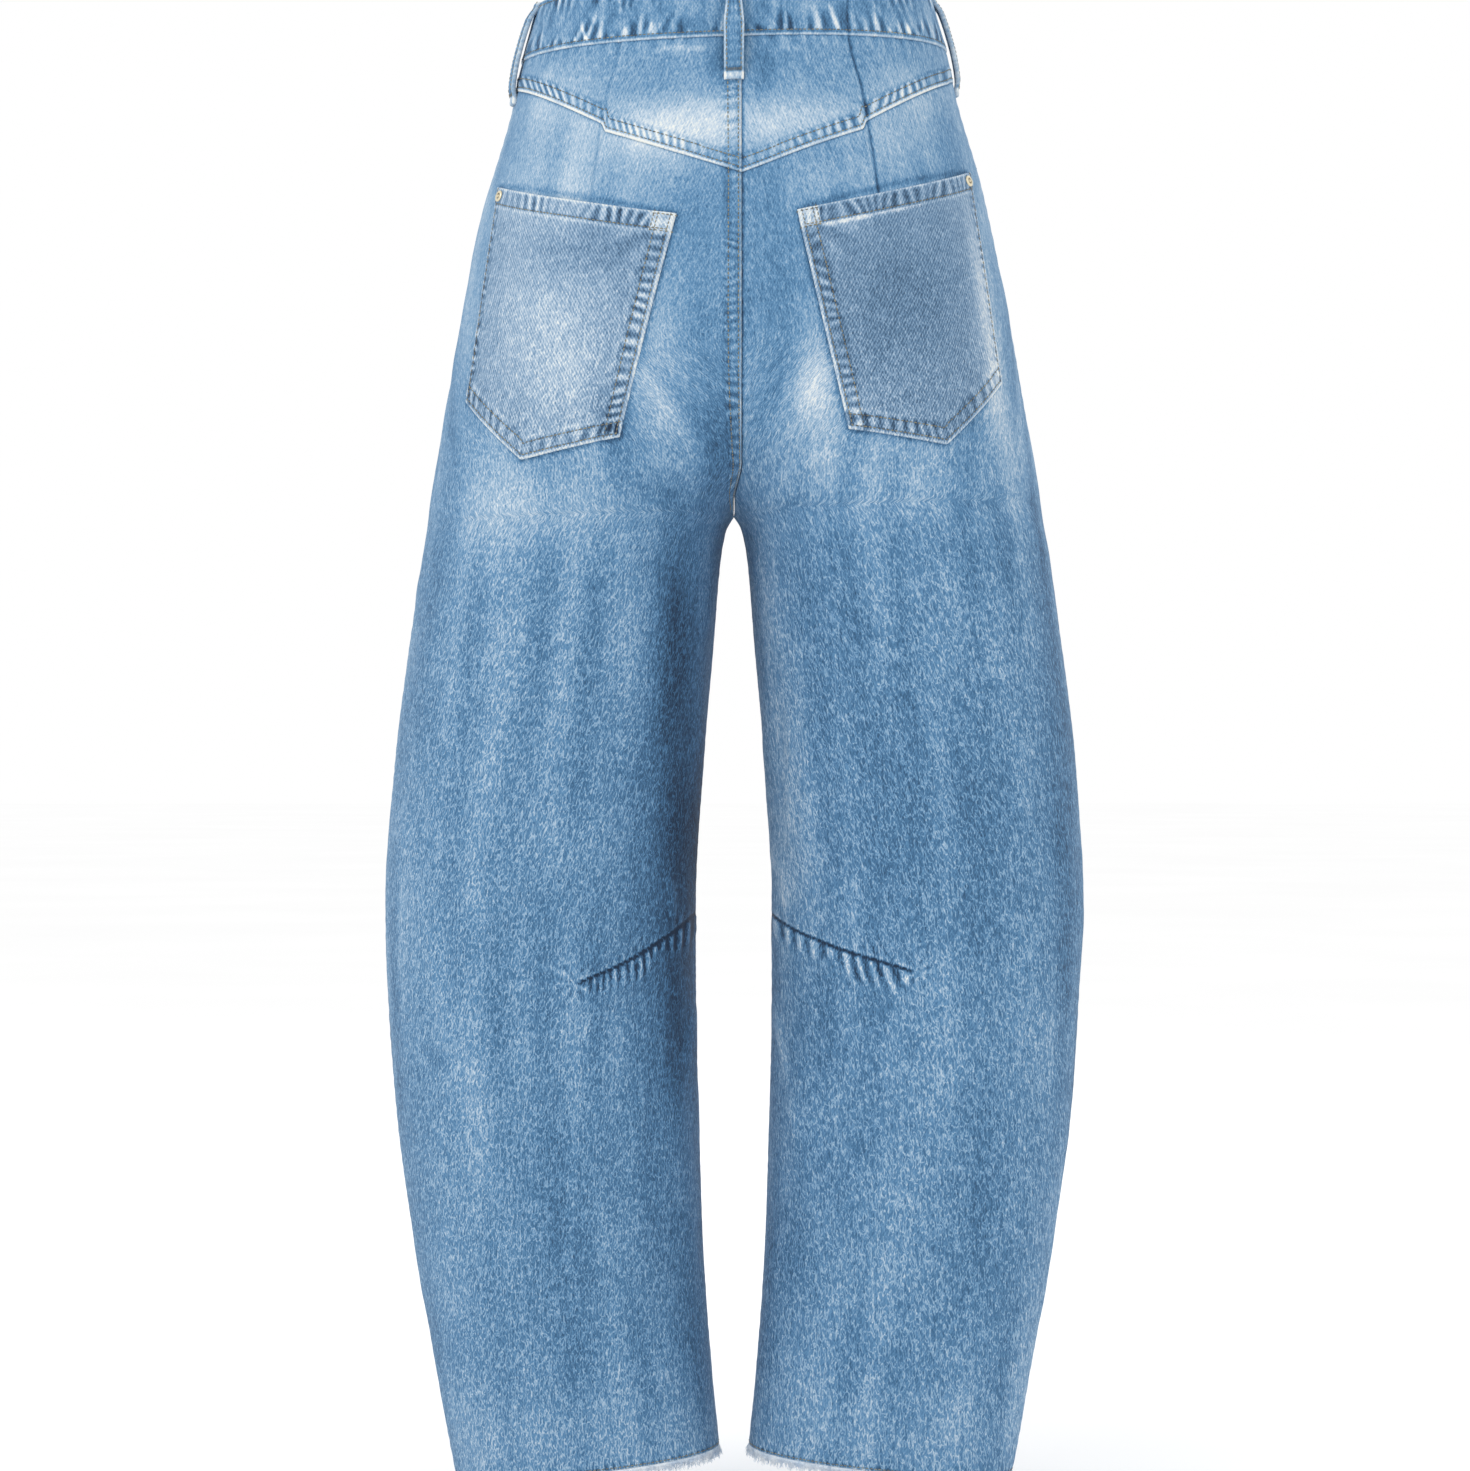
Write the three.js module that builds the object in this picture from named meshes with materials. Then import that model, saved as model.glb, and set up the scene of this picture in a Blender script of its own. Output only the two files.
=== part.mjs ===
import * as THREE from 'three';

// High-waisted barrel-leg jeans, filled out and empty, as they hang from the waist.
// Millimetres. The origin is the centre of the waist opening at the waistband's mid-height,
// +Z is up, +X is the wearer's left and -Y is the front.

// Driving dimensions
const BAND_HEIGHT = 40;
const BAND_TOP = BAND_HEIGHT / 2;
const WAIST_SEAM = -BAND_HEIGHT / 2;
const CROTCH = -335;
const HEM_INNER = { x: 10, z: -973.4 };
const HEM_OUTER = { x: 191.5, z: -991.5 };
const FRAY_LENGTH = 5.6;
const FRAY_UNEVENNESS = 1.4;
const FRAY_WAVES = [{ turn: 2.4, share: 0.6 }, { turn: 5.3, share: 0.4 }];
const FRAY_SUNK = 0.2;
const SEAM_GAP = 0.3;
const ROUNDNESS = 2.2;

// Near the crotch only the cloth beside the centre seams draws together
const EDGE_CROWDING = 2.8;
const EDGE_CROWDING_TOP = -200;

const DENIM = 1.5;
const YOKE_CLOTH = 1.8;
const BAND_CLOTH = 3;
const BAND_PROUD = 0.6;
const POCKET_CLOTH = 1.4;
const POCKET_LIFT = 0.45;
const LOOP_CLOTH = 2.4;
const FRAY_CLOTH = 1;

const FABRIC_BLUE = 0x6c8eaf;
const FABRIC_BLUE_DARK = 0x5d80a2;
const FRAY_PALE = 0xd5dce2;
const METAL_BRASS = 0xb9a77c;

// One row for each horizontal section of the left half. `outer` is the outseam's reach from the
// centre plane, `axis` the middle of the leg, `inner` the section's innermost reach, which is past
// the centre plane above the crotch, `back` and `front` the depths, and `level` the outseam's y.
const SECTION_COLUMNS = ['z', 'outer', 'axis', 'inner', 'back', 'front', 'level'];
const SECTIONS = [
  [24, 134.2, 0, -300, 91, 87, 0],
  [20, 135.2, 0, -300, 92, 88, 0],
  [-20, 146.1, 8, -292, 101, 95, 2],
  [-54, 153.5, 14, -286, 107, 99.5, 4],
  [-116, 170.8, 30, -270, 118, 103, 7],
  [-199, 187.7, 50, -200, 131, 104, 8],
  [-254, 197.5, 70, -114, 130, 103.5, 7],
  [-290, 203.4, 88, -54, 125.5, 103, 6],
  [-320, 208.4, 101, -13, 119, 102.5, 5],
  [-335, 210.6, 107, 0, 115.6, 102, 4],
  [-344, 212.1, 109.2, 5.2, 113.4, 101.7, 3.7],
  [-364, 215.5, 112.6, 9, 109.8, 101, 3],
  [-420, 224.4, 119, 13.8, 103, 98, 0],
  [-502, 234.6, 127.6, 20.7, 95, 93, -3],
  [-599, 240.8, 133.6, 26.3, 90, 88, -6],
  [-668, 238.4, 132.3, 26.2, 86, 85, -6],
  [-751, 231.8, 128, 24.2, 80, 80, -5],
  [-834, 220.1, 120.7, 21.4, 74, 75, -4],
  [-916, 206, 111, 15.9, 68, 69, -2],
  [-976, 195, 103, 10, 65, 65, 0],
  [-1000, 190, 99.5, 8, 64, 64, 0],
];

// How far a point drops for each millimetre towards the wearer's left, because they hang askew
const HANG_COLUMNS = ['z', 'slope'];
const HANG = [
  [20, 0.028],
  [-120, 0.032],
  [-300, 0.036],
  [-650, 0.032],
  [-860, 0.012],
  [-1000, 0.004],
];

// Lower edge of the yoke, from the outseam (girth 0) to the centre back (girth 1)
const YOKE_COLUMNS = ['girth', 'z'];
const YOKE_SEAM = [
  [0, -39],
  [0.36, -60],
  [0.678, -81],
  [1, -109.5],
];

// Front pocket mouth, a quarter ellipse about the corner of the outseam and the waist seam
const MOUTH_GIRTH = 0.65;
const MOUTH_DEPTH = 72;
const FACING_UNDERLAP = 1.14;
const FACING_RECESS = 2.6;
const FACING_SLOPE = { from: 0.5, to: 0.94 };
const BESIDE_OUTSEAM = 1e-6;

// Left back pocket, seen from behind: across is the reach from the centre plane
const BACK_POCKET = {
  topOuter: { x: 158.5, z: -109.5 },
  topInner: { x: 39.7, z: -140 },
  bottomOuter: { x: 178.5, z: -256 },
  tip: { x: 140.6, z: -298 },
  bottomInner: { x: 75.5, z: -286 },
};
const POCKET_TIP_SHARE = 0.44;
const RIVET = { radius: 4, height: 1.6, inset: 6 };
const BUTTON = { radius: 8.5, height: 3.4, x: -4 };

// Section of a domed disc with a raised rim, as shares of its radius and of its height
const DISC_PROFILE = [
  [0, 0],
  [1, 0],
  [1, 0.45],
  [0.86, 0.8],
  [0.6, 0.72],
  [0.35, 0.9],
  [0, 1],
];

// Felled centre-back seam: its free edge lies on the wearer's right of the centre
const FELL_SHIFT = 5;
const FELL_FADE = 40;
const FELL_HEIGHT = { none: CROTCH + 8, full: CROTCH + 32 };
const FELL_DEPTH = { none: 15, full: 55 };

// Largest folds, soft ridges (positive) and troughs (negative) along a line on one face
const FOLD_COLUMNS = ['side', 'face', 'x0', 'z0', 'x1', 'z1', 'width', 'height'];
const FOLD_OVERRUN = 0.05;
const FOLD_FADE = 0.25;
const FOLDS = [
  [1, 1, 160, -330, 163, -580, 16, 2.6],
  [1, 1, 166, -640, 203, -800, 15, 2.4],
  [1, 1, 42, -616, 106, -653, 9, -2.8],
  [1, 1, 46, -632, 104, -668, 10, 1.6],
  [-1, 1, 44, -616, 122, -645, 9, -2.8],
  [-1, 1, 48, -632, 120, -662, 10, 1.6],
  [-1, 1, 52, -470, 44, -585, 10, 1.8],
  [-1, 1, 205, -620, 207, -700, 14, 1.8],
  [-1, 1, 44, -690, 48, -830, 10, 1.6],
  [1, 1, 40, -700, 36, -800, 9, 1.4],
  [1, -1, 128, -360, 140, -560, 16, 2.2],
  [-1, -1, 124, -380, 138, -560, 16, 2],
  [1, -1, 60, -600, 128, -628, 11, -2],
  [-1, -1, 62, -604, 122, -634, 11, -2],
  [1, -1, 30, -300, 92, -262, 12, 1.8],
  [-1, -1, 30, -302, 88, -268, 12, 1.8],
  [1, -1, 150, -690, 138, -850, 15, 1.8],
  [-1, -1, 146, -700, 140, -840, 15, 1.6],
];

// Belt loops, each at its girth round the waist: 0 and 4 are the centre front, 1 and 3 the
// outseams and 2 the centre back. `gap` is the clearance behind the strap at each height.
const LOOP_WIDTH = 13;
const LOOP_SEARCH_STEP = 0.0002;
const LOOP_COLUMNS = ['z', 'gap'];
const LOOP_PROFILE = [
  [19.6, 0.95],
  [16.5, 1.1],
  [12.5, 3.4],
  [7.5, 6],
  [-4, 7.1],
  [-18, 7.3],
  [-31, 6.6],
  [-39.5, 5.2],
  [-44, 2.6],
  [-46.6, 0.8],
  [-50, 0.7],
];
const LOOPS = [
  { name: 'belt_loop_centre_back', girth: 2 },
  { name: 'belt_loop_side_left', girth: 2.89 },
  { name: 'belt_loop_side_right', girth: 1 },
  { name: 'belt_loop_front_left', girth: 3.7 },
  { name: 'belt_loop_front_right', girth: 0.3 },
];

// Where the band's two ends lap at the centre front, as girths
const BAND_UNDER_END = -0.072;
const BAND_OVER_END = 4.06;
const BAND_STEP_START = 0.068;
const BAND_STEP_END = 0.18;
const BAND_LAP_GAP = 0.4;

// Mesh fineness
const BACK_COLUMNS = 13;
const BAND_LAP_SEGMENTS = 4;
const BAND_STEP_SEGMENTS = 3;
const BAND_SEGMENTS = 58;
const FRONT_INNER_COLUMNS = 5;
const FRONT_MOUTH_COLUMNS = 8;
const ROWS_ABOVE_CROTCH = 13;
const LEG_ROWS = [
  -339, -345, -354, -370, -395, -430, -470, -512, -555, -590, -608, -620, -632, -644, -656, -672,
  -705, -745, -790, -835, -880, -930,
];
const FACING_CELLS = 9;
const POCKET_ROWS = 10;
const POCKET_OUTER_COLUMNS = 5;
const POCKET_INNER_COLUMNS = 6;
const HEM_TEETH = 54;
const DISC_SIDES = 16;
const REACH_HALVINGS = 40;

function column(columns, rows, name) {
  const index = columns.indexOf(name);
  return rows.map((row) => row[index]);
}

// Monotone cubic curve through a table's points, whose keys rise or fall steadily
function curveThrough(keys, values) {
  const falling = keys[0] > keys[keys.length - 1];
  const xs = falling ? [...keys].reverse() : keys;
  const ys = falling ? [...values].reverse() : values;
  const slopes = xs.slice(1).map((x, i) => (ys[i + 1] - ys[i]) / (x - xs[i]));
  const tangents = xs.map((_, i) => {
    if (i === 0) return slopes[0];
    if (i === xs.length - 1) return slopes[i - 1];
    if (slopes[i - 1] * slopes[i] <= 0) return 0;
    return (2 * slopes[i - 1] * slopes[i]) / (slopes[i - 1] + slopes[i]);
  });
  return (at) => {
    const x = Math.min(Math.max(at, xs[0]), xs[xs.length - 1]);
    let i = 0;
    while (i < xs.length - 2 && x > xs[i + 1]) i += 1;
    const span = xs[i + 1] - xs[i];
    const t = (x - xs[i]) / span;
    const rest = 1 - t;
    return (
      ys[i] * rest * rest * (1 + 2 * t) +
      ys[i + 1] * t * t * (3 - 2 * t) +
      span * (tangents[i] * t * rest * rest - tangents[i + 1] * t * t * rest)
    );
  };
}

function tableCurves(columns, rows) {
  const keys = column(columns, rows, columns[0]);
  const curves = {};
  for (const name of columns.slice(1)) {
    curves[name] = curveThrough(keys, column(columns, rows, name));
  }
  return curves;
}

const section = tableCurves(SECTION_COLUMNS, SECTIONS);
const hangSlope = tableCurves(HANG_COLUMNS, HANG).slope;
const yokeSeamZ = tableCurves(YOKE_COLUMNS, YOKE_SEAM).z;
const folds = FOLDS.map((row) => Object.fromEntries(row.map((v, i) => [FOLD_COLUMNS[i], v])));

function smoothStep(from, to, value) {
  const t = Math.min(Math.max((value - from) / (to - from), 0), 1);
  return t * t * (3 - 2 * t);
}

function mix(a, b, t) {
  return a + (b - a) * t;
}

function hemZ(x) {
  return mix(HEM_INNER.z, HEM_OUTER.z, (x - HEM_INNER.x) / (HEM_OUTER.x - HEM_INNER.x));
}

// Point of the smooth skin. `side` is 1 for the wearer's left and -1 for the right; `girth` runs
// from 0 at the outseam to 1 at the centre back or inseam and -1 at the centre front or inseam.
function skinPoint(side, girth, z) {
  const axis = section.axis(z);
  const innerHalf = axis - section.inner(z);
  const share = Math.min(1, axis / innerHalf);
  const cutOff = Math.acos(share ** (ROUNDNESS / 2));
  const crowding = mix(1, EDGE_CROWDING, smoothStep(EDGE_CROWDING_TOP, CROTCH, z));
  const angle = Math.abs(girth) * Math.PI - cutOff * Math.abs(girth) ** crowding;
  const cosine = Math.cos(angle);
  const half = cosine >= 0 ? section.outer(z) - axis : innerHalf;
  const level = section.level(z);
  const depth = girth >= 0 ? section.back(z) - level : section.front(z) + level;
  const x = axis + half * Math.sign(cosine) * Math.abs(cosine) ** (2 / ROUNDNESS);
  const y = level + Math.sign(girth) * depth * Math.abs(Math.sin(angle)) ** (2 / ROUNDNESS);
  return new THREE.Vector3(side * x, y, z);
}

// How far a point is outside (positive) or inside (negative) the skin, in the section's own units
function skinExcess(x, y, z) {
  const axis = section.axis(z);
  const level = section.level(z);
  const half = x >= axis ? section.outer(z) - axis : axis - section.inner(z);
  const depth = y >= level ? section.back(z) - level : section.front(z) + level;
  return (Math.abs(x - axis) / half) ** ROUNDNESS + (Math.abs(y - level) / depth) ** ROUNDNESS;
}

function skinNormal(side, point) {
  const step = 0.05;
  const x = side * point.x;
  const { y, z } = point;
  return new THREE.Vector3(
    side * (skinExcess(x + step, y, z) - skinExcess(x - step, y, z)),
    skinExcess(x, y + step, z) - skinExcess(x, y - step, z),
    skinExcess(x, y, z + step) - skinExcess(x, y, z - step),
  ).normalize();
}

// Height of the folds over the smooth skin at one of its points
function foldHeight(side, face, point) {
  let height = 0;
  for (const fold of folds) {
    if (fold.side !== side || fold.face !== face) continue;
    const along = { x: fold.x1 - fold.x0, z: fold.z1 - fold.z0 };
    const length = Math.hypot(along.x, along.z);
    const dx = side * point.x - fold.x0;
    const dz = point.z - fold.z0;
    const t = (dx * along.x + dz * along.z) / (length * length);
    const off = (dx * along.z - dz * along.x) / length;
    const ends = smoothStep(-FOLD_OVERRUN, FOLD_FADE, t) * smoothStep(1 + FOLD_OVERRUN, 1 - FOLD_FADE, t);
    height += fold.height * ends * Math.exp(-((off / fold.width) ** 2));
  }
  return height;
}

// Sideways shift that puts the centre-back seam's free edge beside the centre
function shiftFell(point) {
  const nearCentre = Math.exp(-((point.x / FELL_FADE) ** 2));
  const height = smoothStep(FELL_HEIGHT.none, FELL_HEIGHT.full, point.z);
  const depth = smoothStep(FELL_DEPTH.none, FELL_DEPTH.full, point.y);
  point.x -= FELL_SHIFT * nearCentre * height * depth;
  return point;
}

// The askew hang, done to every finished point
function hang(point) {
  point.z -= hangSlope(point.z) * point.x;
  return point;
}

// Place on the cloth: its skin point, the skin's normal and how far it is lifted off the skin
function clothPlace(side, girth, z, lift = 0) {
  const skin = skinPoint(side, girth, z);
  const normal = skinNormal(side, skin);
  const face = girth >= 0 ? 1 : -1;
  return { skin, normal, lift: lift + foldHeight(side, face, skin) };
}

// Girth at which the back of one half is `reach` from the centre plane
function girthAtReach(reach, z) {
  let low = 0;
  let high = 1;
  for (let i = 0; i < REACH_HALVINGS; i += 1) {
    const middle = (low + high) / 2;
    if (skinPoint(1, middle, z).x > reach) low = middle;
    else high = middle;
  }
  return (low + high) / 2;
}

// Draws the rim of a grid of places in by half a seam gap
function partSeams(grid) {
  const rows = grid.length;
  const columns = grid[0].length;
  const moves = grid.map((row) => row.map(() => new THREE.Vector3()));
  const pull = (i, j, iNext, jNext) => {
    const inward = grid[iNext][jNext].skin.clone().sub(grid[i][j].skin);
    moves[i][j].add(inward.setLength(SEAM_GAP / 2));
  };
  for (let j = 0; j < columns; j += 1) {
    pull(0, j, 1, j);
    pull(rows - 1, j, rows - 2, j);
  }
  for (let i = 0; i < rows; i += 1) {
    pull(i, 0, i, 1);
    pull(i, columns - 1, i, columns - 2);
  }
  grid.forEach((row, i) => row.forEach((place, j) => place.skin.add(moves[i][j])));
  return grid;
}

function meshFrom(name, points, triangles, colour) {
  const geometry = new THREE.BufferGeometry();
  const positions = points.flatMap((p) => [p.x, p.y, p.z]);
  geometry.setAttribute('position', new THREE.Float32BufferAttribute(positions, 3));
  geometry.setIndex(triangles);
  geometry.computeVertexNormals();
  const material = new THREE.MeshStandardMaterial({ color: colour, roughness: 0.9, metalness: 0 });
  const mesh = new THREE.Mesh(geometry, material);
  mesh.name = name;
  return mesh;
}

function signedVolume(points, triangles) {
  let volume = 0;
  for (let k = 0; k < triangles.length; k += 3) {
    const [a, b, c] = [points[triangles[k]], points[triangles[k + 1]], points[triangles[k + 2]]];
    volume += a.dot(new THREE.Vector3().crossVectors(b, c));
  }
  return volume;
}

// Closed wall of cloth: the grid's lifted points outside, and the same points moved in by the
// cloth's thickness inside. A ring closes on itself across its columns, and a felled panel takes
// the centre-back seam's shift.
function clothWall(name, grid, thickness, colour, { ring = false, felled = false } = {}) {
  const rows = grid.length;
  const columns = grid[0].length;
  const count = rows * columns;
  const pointAt = ({ skin, normal, lift }, depth) => {
    const point = skin.clone().addScaledVector(normal, lift - depth);
    return hang(felled ? shiftFell(point) : point);
  };
  const layer = (depth) => grid.flatMap((row) => row.map((place) => pointAt(place, depth)));
  const points = [...layer(0), ...layer(thickness)];
  const triangles = [];
  const quad = (a, b, c, d) => triangles.push(a, b, c, a, c, d);
  const at = (i, j) => i * columns + (j % columns);
  const lastColumn = ring ? columns : columns - 1;
  for (let i = 0; i < rows - 1; i += 1) {
    for (let j = 0; j < lastColumn; j += 1) {
      quad(at(i, j), at(i + 1, j), at(i + 1, j + 1), at(i, j + 1));
      quad(count + at(i, j), count + at(i, j + 1), count + at(i + 1, j + 1), count + at(i + 1, j));
    }
    if (!ring) {
      quad(at(i, 0), count + at(i, 0), count + at(i + 1, 0), at(i + 1, 0));
      const last = columns - 1;
      quad(at(i, last), at(i + 1, last), count + at(i + 1, last), count + at(i, last));
    }
  }
  for (let j = 0; j < lastColumn; j += 1) {
    quad(at(0, j), at(0, j + 1), count + at(0, j + 1), count + at(0, j));
    const last = rows - 1;
    quad(at(last, j), count + at(last, j), count + at(last, j + 1), at(last, j + 1));
  }
  if (signedVolume(points, triangles) < 0) {
    for (let k = 0; k < triangles.length; k += 3) {
      [triangles[k], triangles[k + 1]] = [triangles[k + 1], triangles[k]];
    }
  }
  return meshFrom(name, points, triangles, colour);
}

// Heights of a leg panel's rows at one girth, from its top edge down to the hem
function panelRows(topZ, side, girth) {
  const rows = [];
  for (let i = 0; i <= ROWS_ABOVE_CROTCH; i += 1) {
    const rest = 1 - i / ROWS_ABOVE_CROTCH;
    rows.push(mix(CROTCH, topZ, rest * rest));
  }
  rows.push(...LEG_ROWS);
  const hemReach = Math.abs(skinPoint(side, girth, HEM_INNER.z).x);
  rows.push(hemZ(hemReach));
  return rows;
}

function panelGrid(side, girths, topZ) {
  const heights = girths.map((girth) => panelRows(topZ(Math.abs(girth)), side, girth));
  return heights[0].map((_, i) =>
    girths.map((girth, j) => clothPlace(side, girth, heights[j][i])),
  );
}

function evenSteps(from, to, segments) {
  return Array.from({ length: segments + 1 }, (_, i) => mix(from, to, i / segments));
}

function backPanel(name, side) {
  const girths = evenSteps(0, 1, BACK_COLUMNS);
  const grid = partSeams(panelGrid(side, girths, yokeSeamZ));
  return clothWall(name, grid, DENIM, FABRIC_BLUE, { felled: true });
}

function mouthZ(girth) {
  const share = Math.min(1, girth / MOUTH_GIRTH);
  return WAIST_SEAM - MOUTH_DEPTH * Math.sqrt(1 - share * share);
}

function frontPanel(name, side) {
  const centre = evenSteps(-1, -MOUTH_GIRTH, FRONT_INNER_COLUMNS);
  const angles = evenSteps(0, Math.PI / 2, FRONT_MOUTH_COLUMNS).slice(1);
  const mouth = angles.map((angle) => -MOUTH_GIRTH * Math.cos(angle));
  mouth[mouth.length - 1] = -BESIDE_OUTSEAM;
  const girths = [...centre, ...mouth];
  return clothWall(name, partSeams(panelGrid(side, girths, mouthZ)), DENIM, FABRIC_BLUE);
}

// Cloth behind the front pocket's mouth, flush at the seams and sunk under the front panel
function pocketFacing(name, side) {
  const steps = evenSteps(0, 1, FACING_CELLS);
  const grid = steps.map((q) =>
    steps.map((p) => {
      const across = p * Math.sqrt(1 - (q * q) / 2) * FACING_UNDERLAP;
      const down = q * Math.sqrt(1 - (p * p) / 2) * FACING_UNDERLAP;
      const reach = Math.hypot(across, down);
      const sunk = FACING_RECESS * smoothStep(FACING_SLOPE.from, FACING_SLOPE.to, reach);
      const girth = -Math.max(across * MOUTH_GIRTH, BESIDE_OUTSEAM);
      return clothPlace(side, girth, WAIST_SEAM - MOUTH_DEPTH * down, -sunk);
    }),
  );
  return clothWall(name, partSeams(grid), DENIM, FABRIC_BLUE_DARK);
}

function yoke(name, side) {
  const girths = evenSteps(0, 1, BACK_COLUMNS);
  const shares = evenSteps(0, 1, 4);
  const grid = shares.map((share) =>
    girths.map((girth) => clothPlace(side, girth, mix(WAIST_SEAM, yokeSeamZ(girth), share))),
  );
  return clothWall(name, partSeams(grid), YOKE_CLOTH, FABRIC_BLUE, { felled: true });
}

// Place at a girth round the whole waist, counted from the centre front over the wearer's right
function waistPlace(girth, z, lift) {
  const turn = (girth + 4) % 4;
  return turn <= 2 ? clothPlace(-1, turn - 1, z, lift) : clothPlace(1, 3 - turn, z, lift);
}

function waistband(name) {
  const girths = [
    ...evenSteps(BAND_UNDER_END, BAND_STEP_START, BAND_LAP_SEGMENTS),
    ...evenSteps(BAND_STEP_START, BAND_STEP_END, BAND_STEP_SEGMENTS).slice(1),
    ...evenSteps(BAND_STEP_END, BAND_OVER_END, BAND_SEGMENTS).slice(1),
  ];
  const lift = (girth) => {
    const rise = smoothStep(BAND_STEP_START, BAND_STEP_END, girth);
    return mix(BAND_PROUD - BAND_CLOTH - BAND_LAP_GAP, BAND_PROUD, rise);
  };
  const grid = [BAND_TOP, 0, WAIST_SEAM].map((z) =>
    girths.map((girth) => waistPlace(girth, z, lift(girth))),
  );
  return clothWall(name, partSeams(grid), BAND_CLOTH, FABRIC_BLUE_DARK);
}

function beltLoop({ name, girth }) {
  const zAt = LOOP_COLUMNS.indexOf('z');
  const gapAt = LOOP_COLUMNS.indexOf('gap');
  const grid = LOOP_PROFILE.map((row) => {
    const centre = waistPlace(girth, row[zAt], 0).skin;
    const edgeAt = (direction) => {
      let edge = girth;
      while (waistPlace(edge, row[zAt], 0).skin.distanceTo(centre) < LOOP_WIDTH / 2) {
        edge += direction * LOOP_SEARCH_STEP;
      }
      return edge;
    };
    const lift = row[gapAt] + LOOP_CLOTH;
    return [edgeAt(-1), girth, edgeAt(1)].map((g) => waistPlace(g, row[zAt], lift));
  });
  return clothWall(name, grid, LOOP_CLOTH, FABRIC_BLUE);
}

const pocketCorners = Object.fromEntries(
  Object.entries(BACK_POCKET).map(([name, { x, z }]) => [name, { girth: girthAtReach(x, z), z }]),
);

// Reach and height a share of the way along the cloth between two corners of the pocket
function pocketEdge(from, to, share) {
  const z = mix(from.z, to.z, share);
  return { x: skinPoint(1, mix(from.girth, to.girth, share), z).x, z };
}

// Place on the back pocket: across from its outer to its inner side, down from its hem to its foot
function pocketPlace(side, across, down, lift) {
  const { topOuter, topInner, bottomOuter, tip, bottomInner } = pocketCorners;
  const top = pocketEdge(topOuter, topInner, across);
  const foot =
    across <= POCKET_TIP_SHARE
      ? pocketEdge(bottomOuter, tip, across / POCKET_TIP_SHARE)
      : pocketEdge(tip, bottomInner, (across - POCKET_TIP_SHARE) / (1 - POCKET_TIP_SHARE));
  const z = mix(top.z, foot.z, down);
  return clothPlace(side, girthAtReach(mix(top.x, foot.x, down), z), z, lift);
}

function backPocket(name, side) {
  const across = [
    ...evenSteps(0, POCKET_TIP_SHARE, POCKET_OUTER_COLUMNS),
    ...evenSteps(POCKET_TIP_SHARE, 1, POCKET_INNER_COLUMNS).slice(1),
  ];
  const down = evenSteps(0, 1, POCKET_ROWS);
  const lift = POCKET_LIFT + POCKET_CLOTH;
  const grid = down.map((v) => across.map((u) => pocketPlace(side, u, v, lift)));
  return clothWall(name, grid, POCKET_CLOTH, FABRIC_BLUE, { felled: true });
}

// Frayed raw edge below the hem's stitching, with a ragged foot
function rawHem(name, side) {
  const teeth = Array.from({ length: HEM_TEETH }, (_, j) => -1 + (2 * j) / HEM_TEETH);
  const rag = (j) =>
    FRAY_WAVES.reduce((sum, { turn, share }) => sum + share * Math.sin(j * turn + side), 0);
  const depths = [() => SEAM_GAP / 2, (j) => FRAY_LENGTH + FRAY_UNEVENNESS * rag(j)];
  const grid = depths.map((depth) =>
    teeth.map((girth, j) => {
      const seam = hemZ(Math.abs(skinPoint(side, girth, HEM_INNER.z).x));
      return clothPlace(side, girth, seam - depth(j), -FRAY_SUNK);
    }),
  );
  return clothWall(name, grid, FRAY_CLOTH, FRAY_PALE, { ring: true });
}

// Domed metal disc turned about the cloth's normal, just clear of the cloth
function metalDisc(name, place, { radius, height }) {
  const profile = DISC_PROFILE.map(([r, h]) => new THREE.Vector2(radius * r, height * h));
  const geometry = new THREE.LatheGeometry(profile, DISC_SIDES);
  const material = new THREE.MeshStandardMaterial({
    color: METAL_BRASS,
    roughness: 0.4,
    metalness: 1,
  });
  const mesh = new THREE.Mesh(geometry, material);
  mesh.name = name;
  mesh.quaternion.setFromUnitVectors(new THREE.Vector3(0, 1, 0), place.normal);
  mesh.position.copy(hang(place.skin.clone().addScaledVector(place.normal, place.lift)));
  return mesh;
}

function pocketRivet(name, side) {
  const { topOuter, topInner } = BACK_POCKET;
  const hem = Math.hypot(topOuter.x - topInner.x, topOuter.z - topInner.z);
  const depth = topOuter.z - BACK_POCKET.bottomOuter.z;
  const lift = POCKET_LIFT + POCKET_CLOTH + SEAM_GAP;
  return metalDisc(name, pocketPlace(side, RIVET.inset / hem, RIVET.inset / depth, lift), RIVET);
}

function waistButton(name) {
  const girth = 1 - girthAtReach(-BUTTON.x, 0);
  return metalDisc(name, waistPlace(girth, 0, BAND_PROUD + SEAM_GAP), BUTTON);
}

const jeans = new THREE.Group();
jeans.add(waistband('waistband'), waistButton('waist_button'));
for (const loop of LOOPS) jeans.add(beltLoop(loop));
for (const [word, side] of [['left', 1], ['right', -1]]) {
  jeans.add(
    yoke(`yoke_${word}`, side),
    backPanel(`back_${word}`, side),
    frontPanel(`front_${word}`, side),
    pocketFacing(`pocket_facing_${word}`, side),
    backPocket(`back_pocket_${word}`, side),
    pocketRivet(`pocket_rivet_${word}`, side),
    rawHem(`raw_hem_${word}`, side),
  );
}

export default jeans;
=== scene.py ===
"""Looks of a pair of high-waisted barrel-leg jeans, filled out and empty.

Sizes are millimetres in the frame of the solids: the origin is the middle of the waist opening, +Z is
up, +X is the wearer's left and +Y is the back. A mesh is turned to metres when it is made.
"""

import logging
import math
from dataclasses import dataclass, field
from enum import Enum
from functools import partial
from typing import Callable, Iterable, Mapping, Sequence

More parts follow.
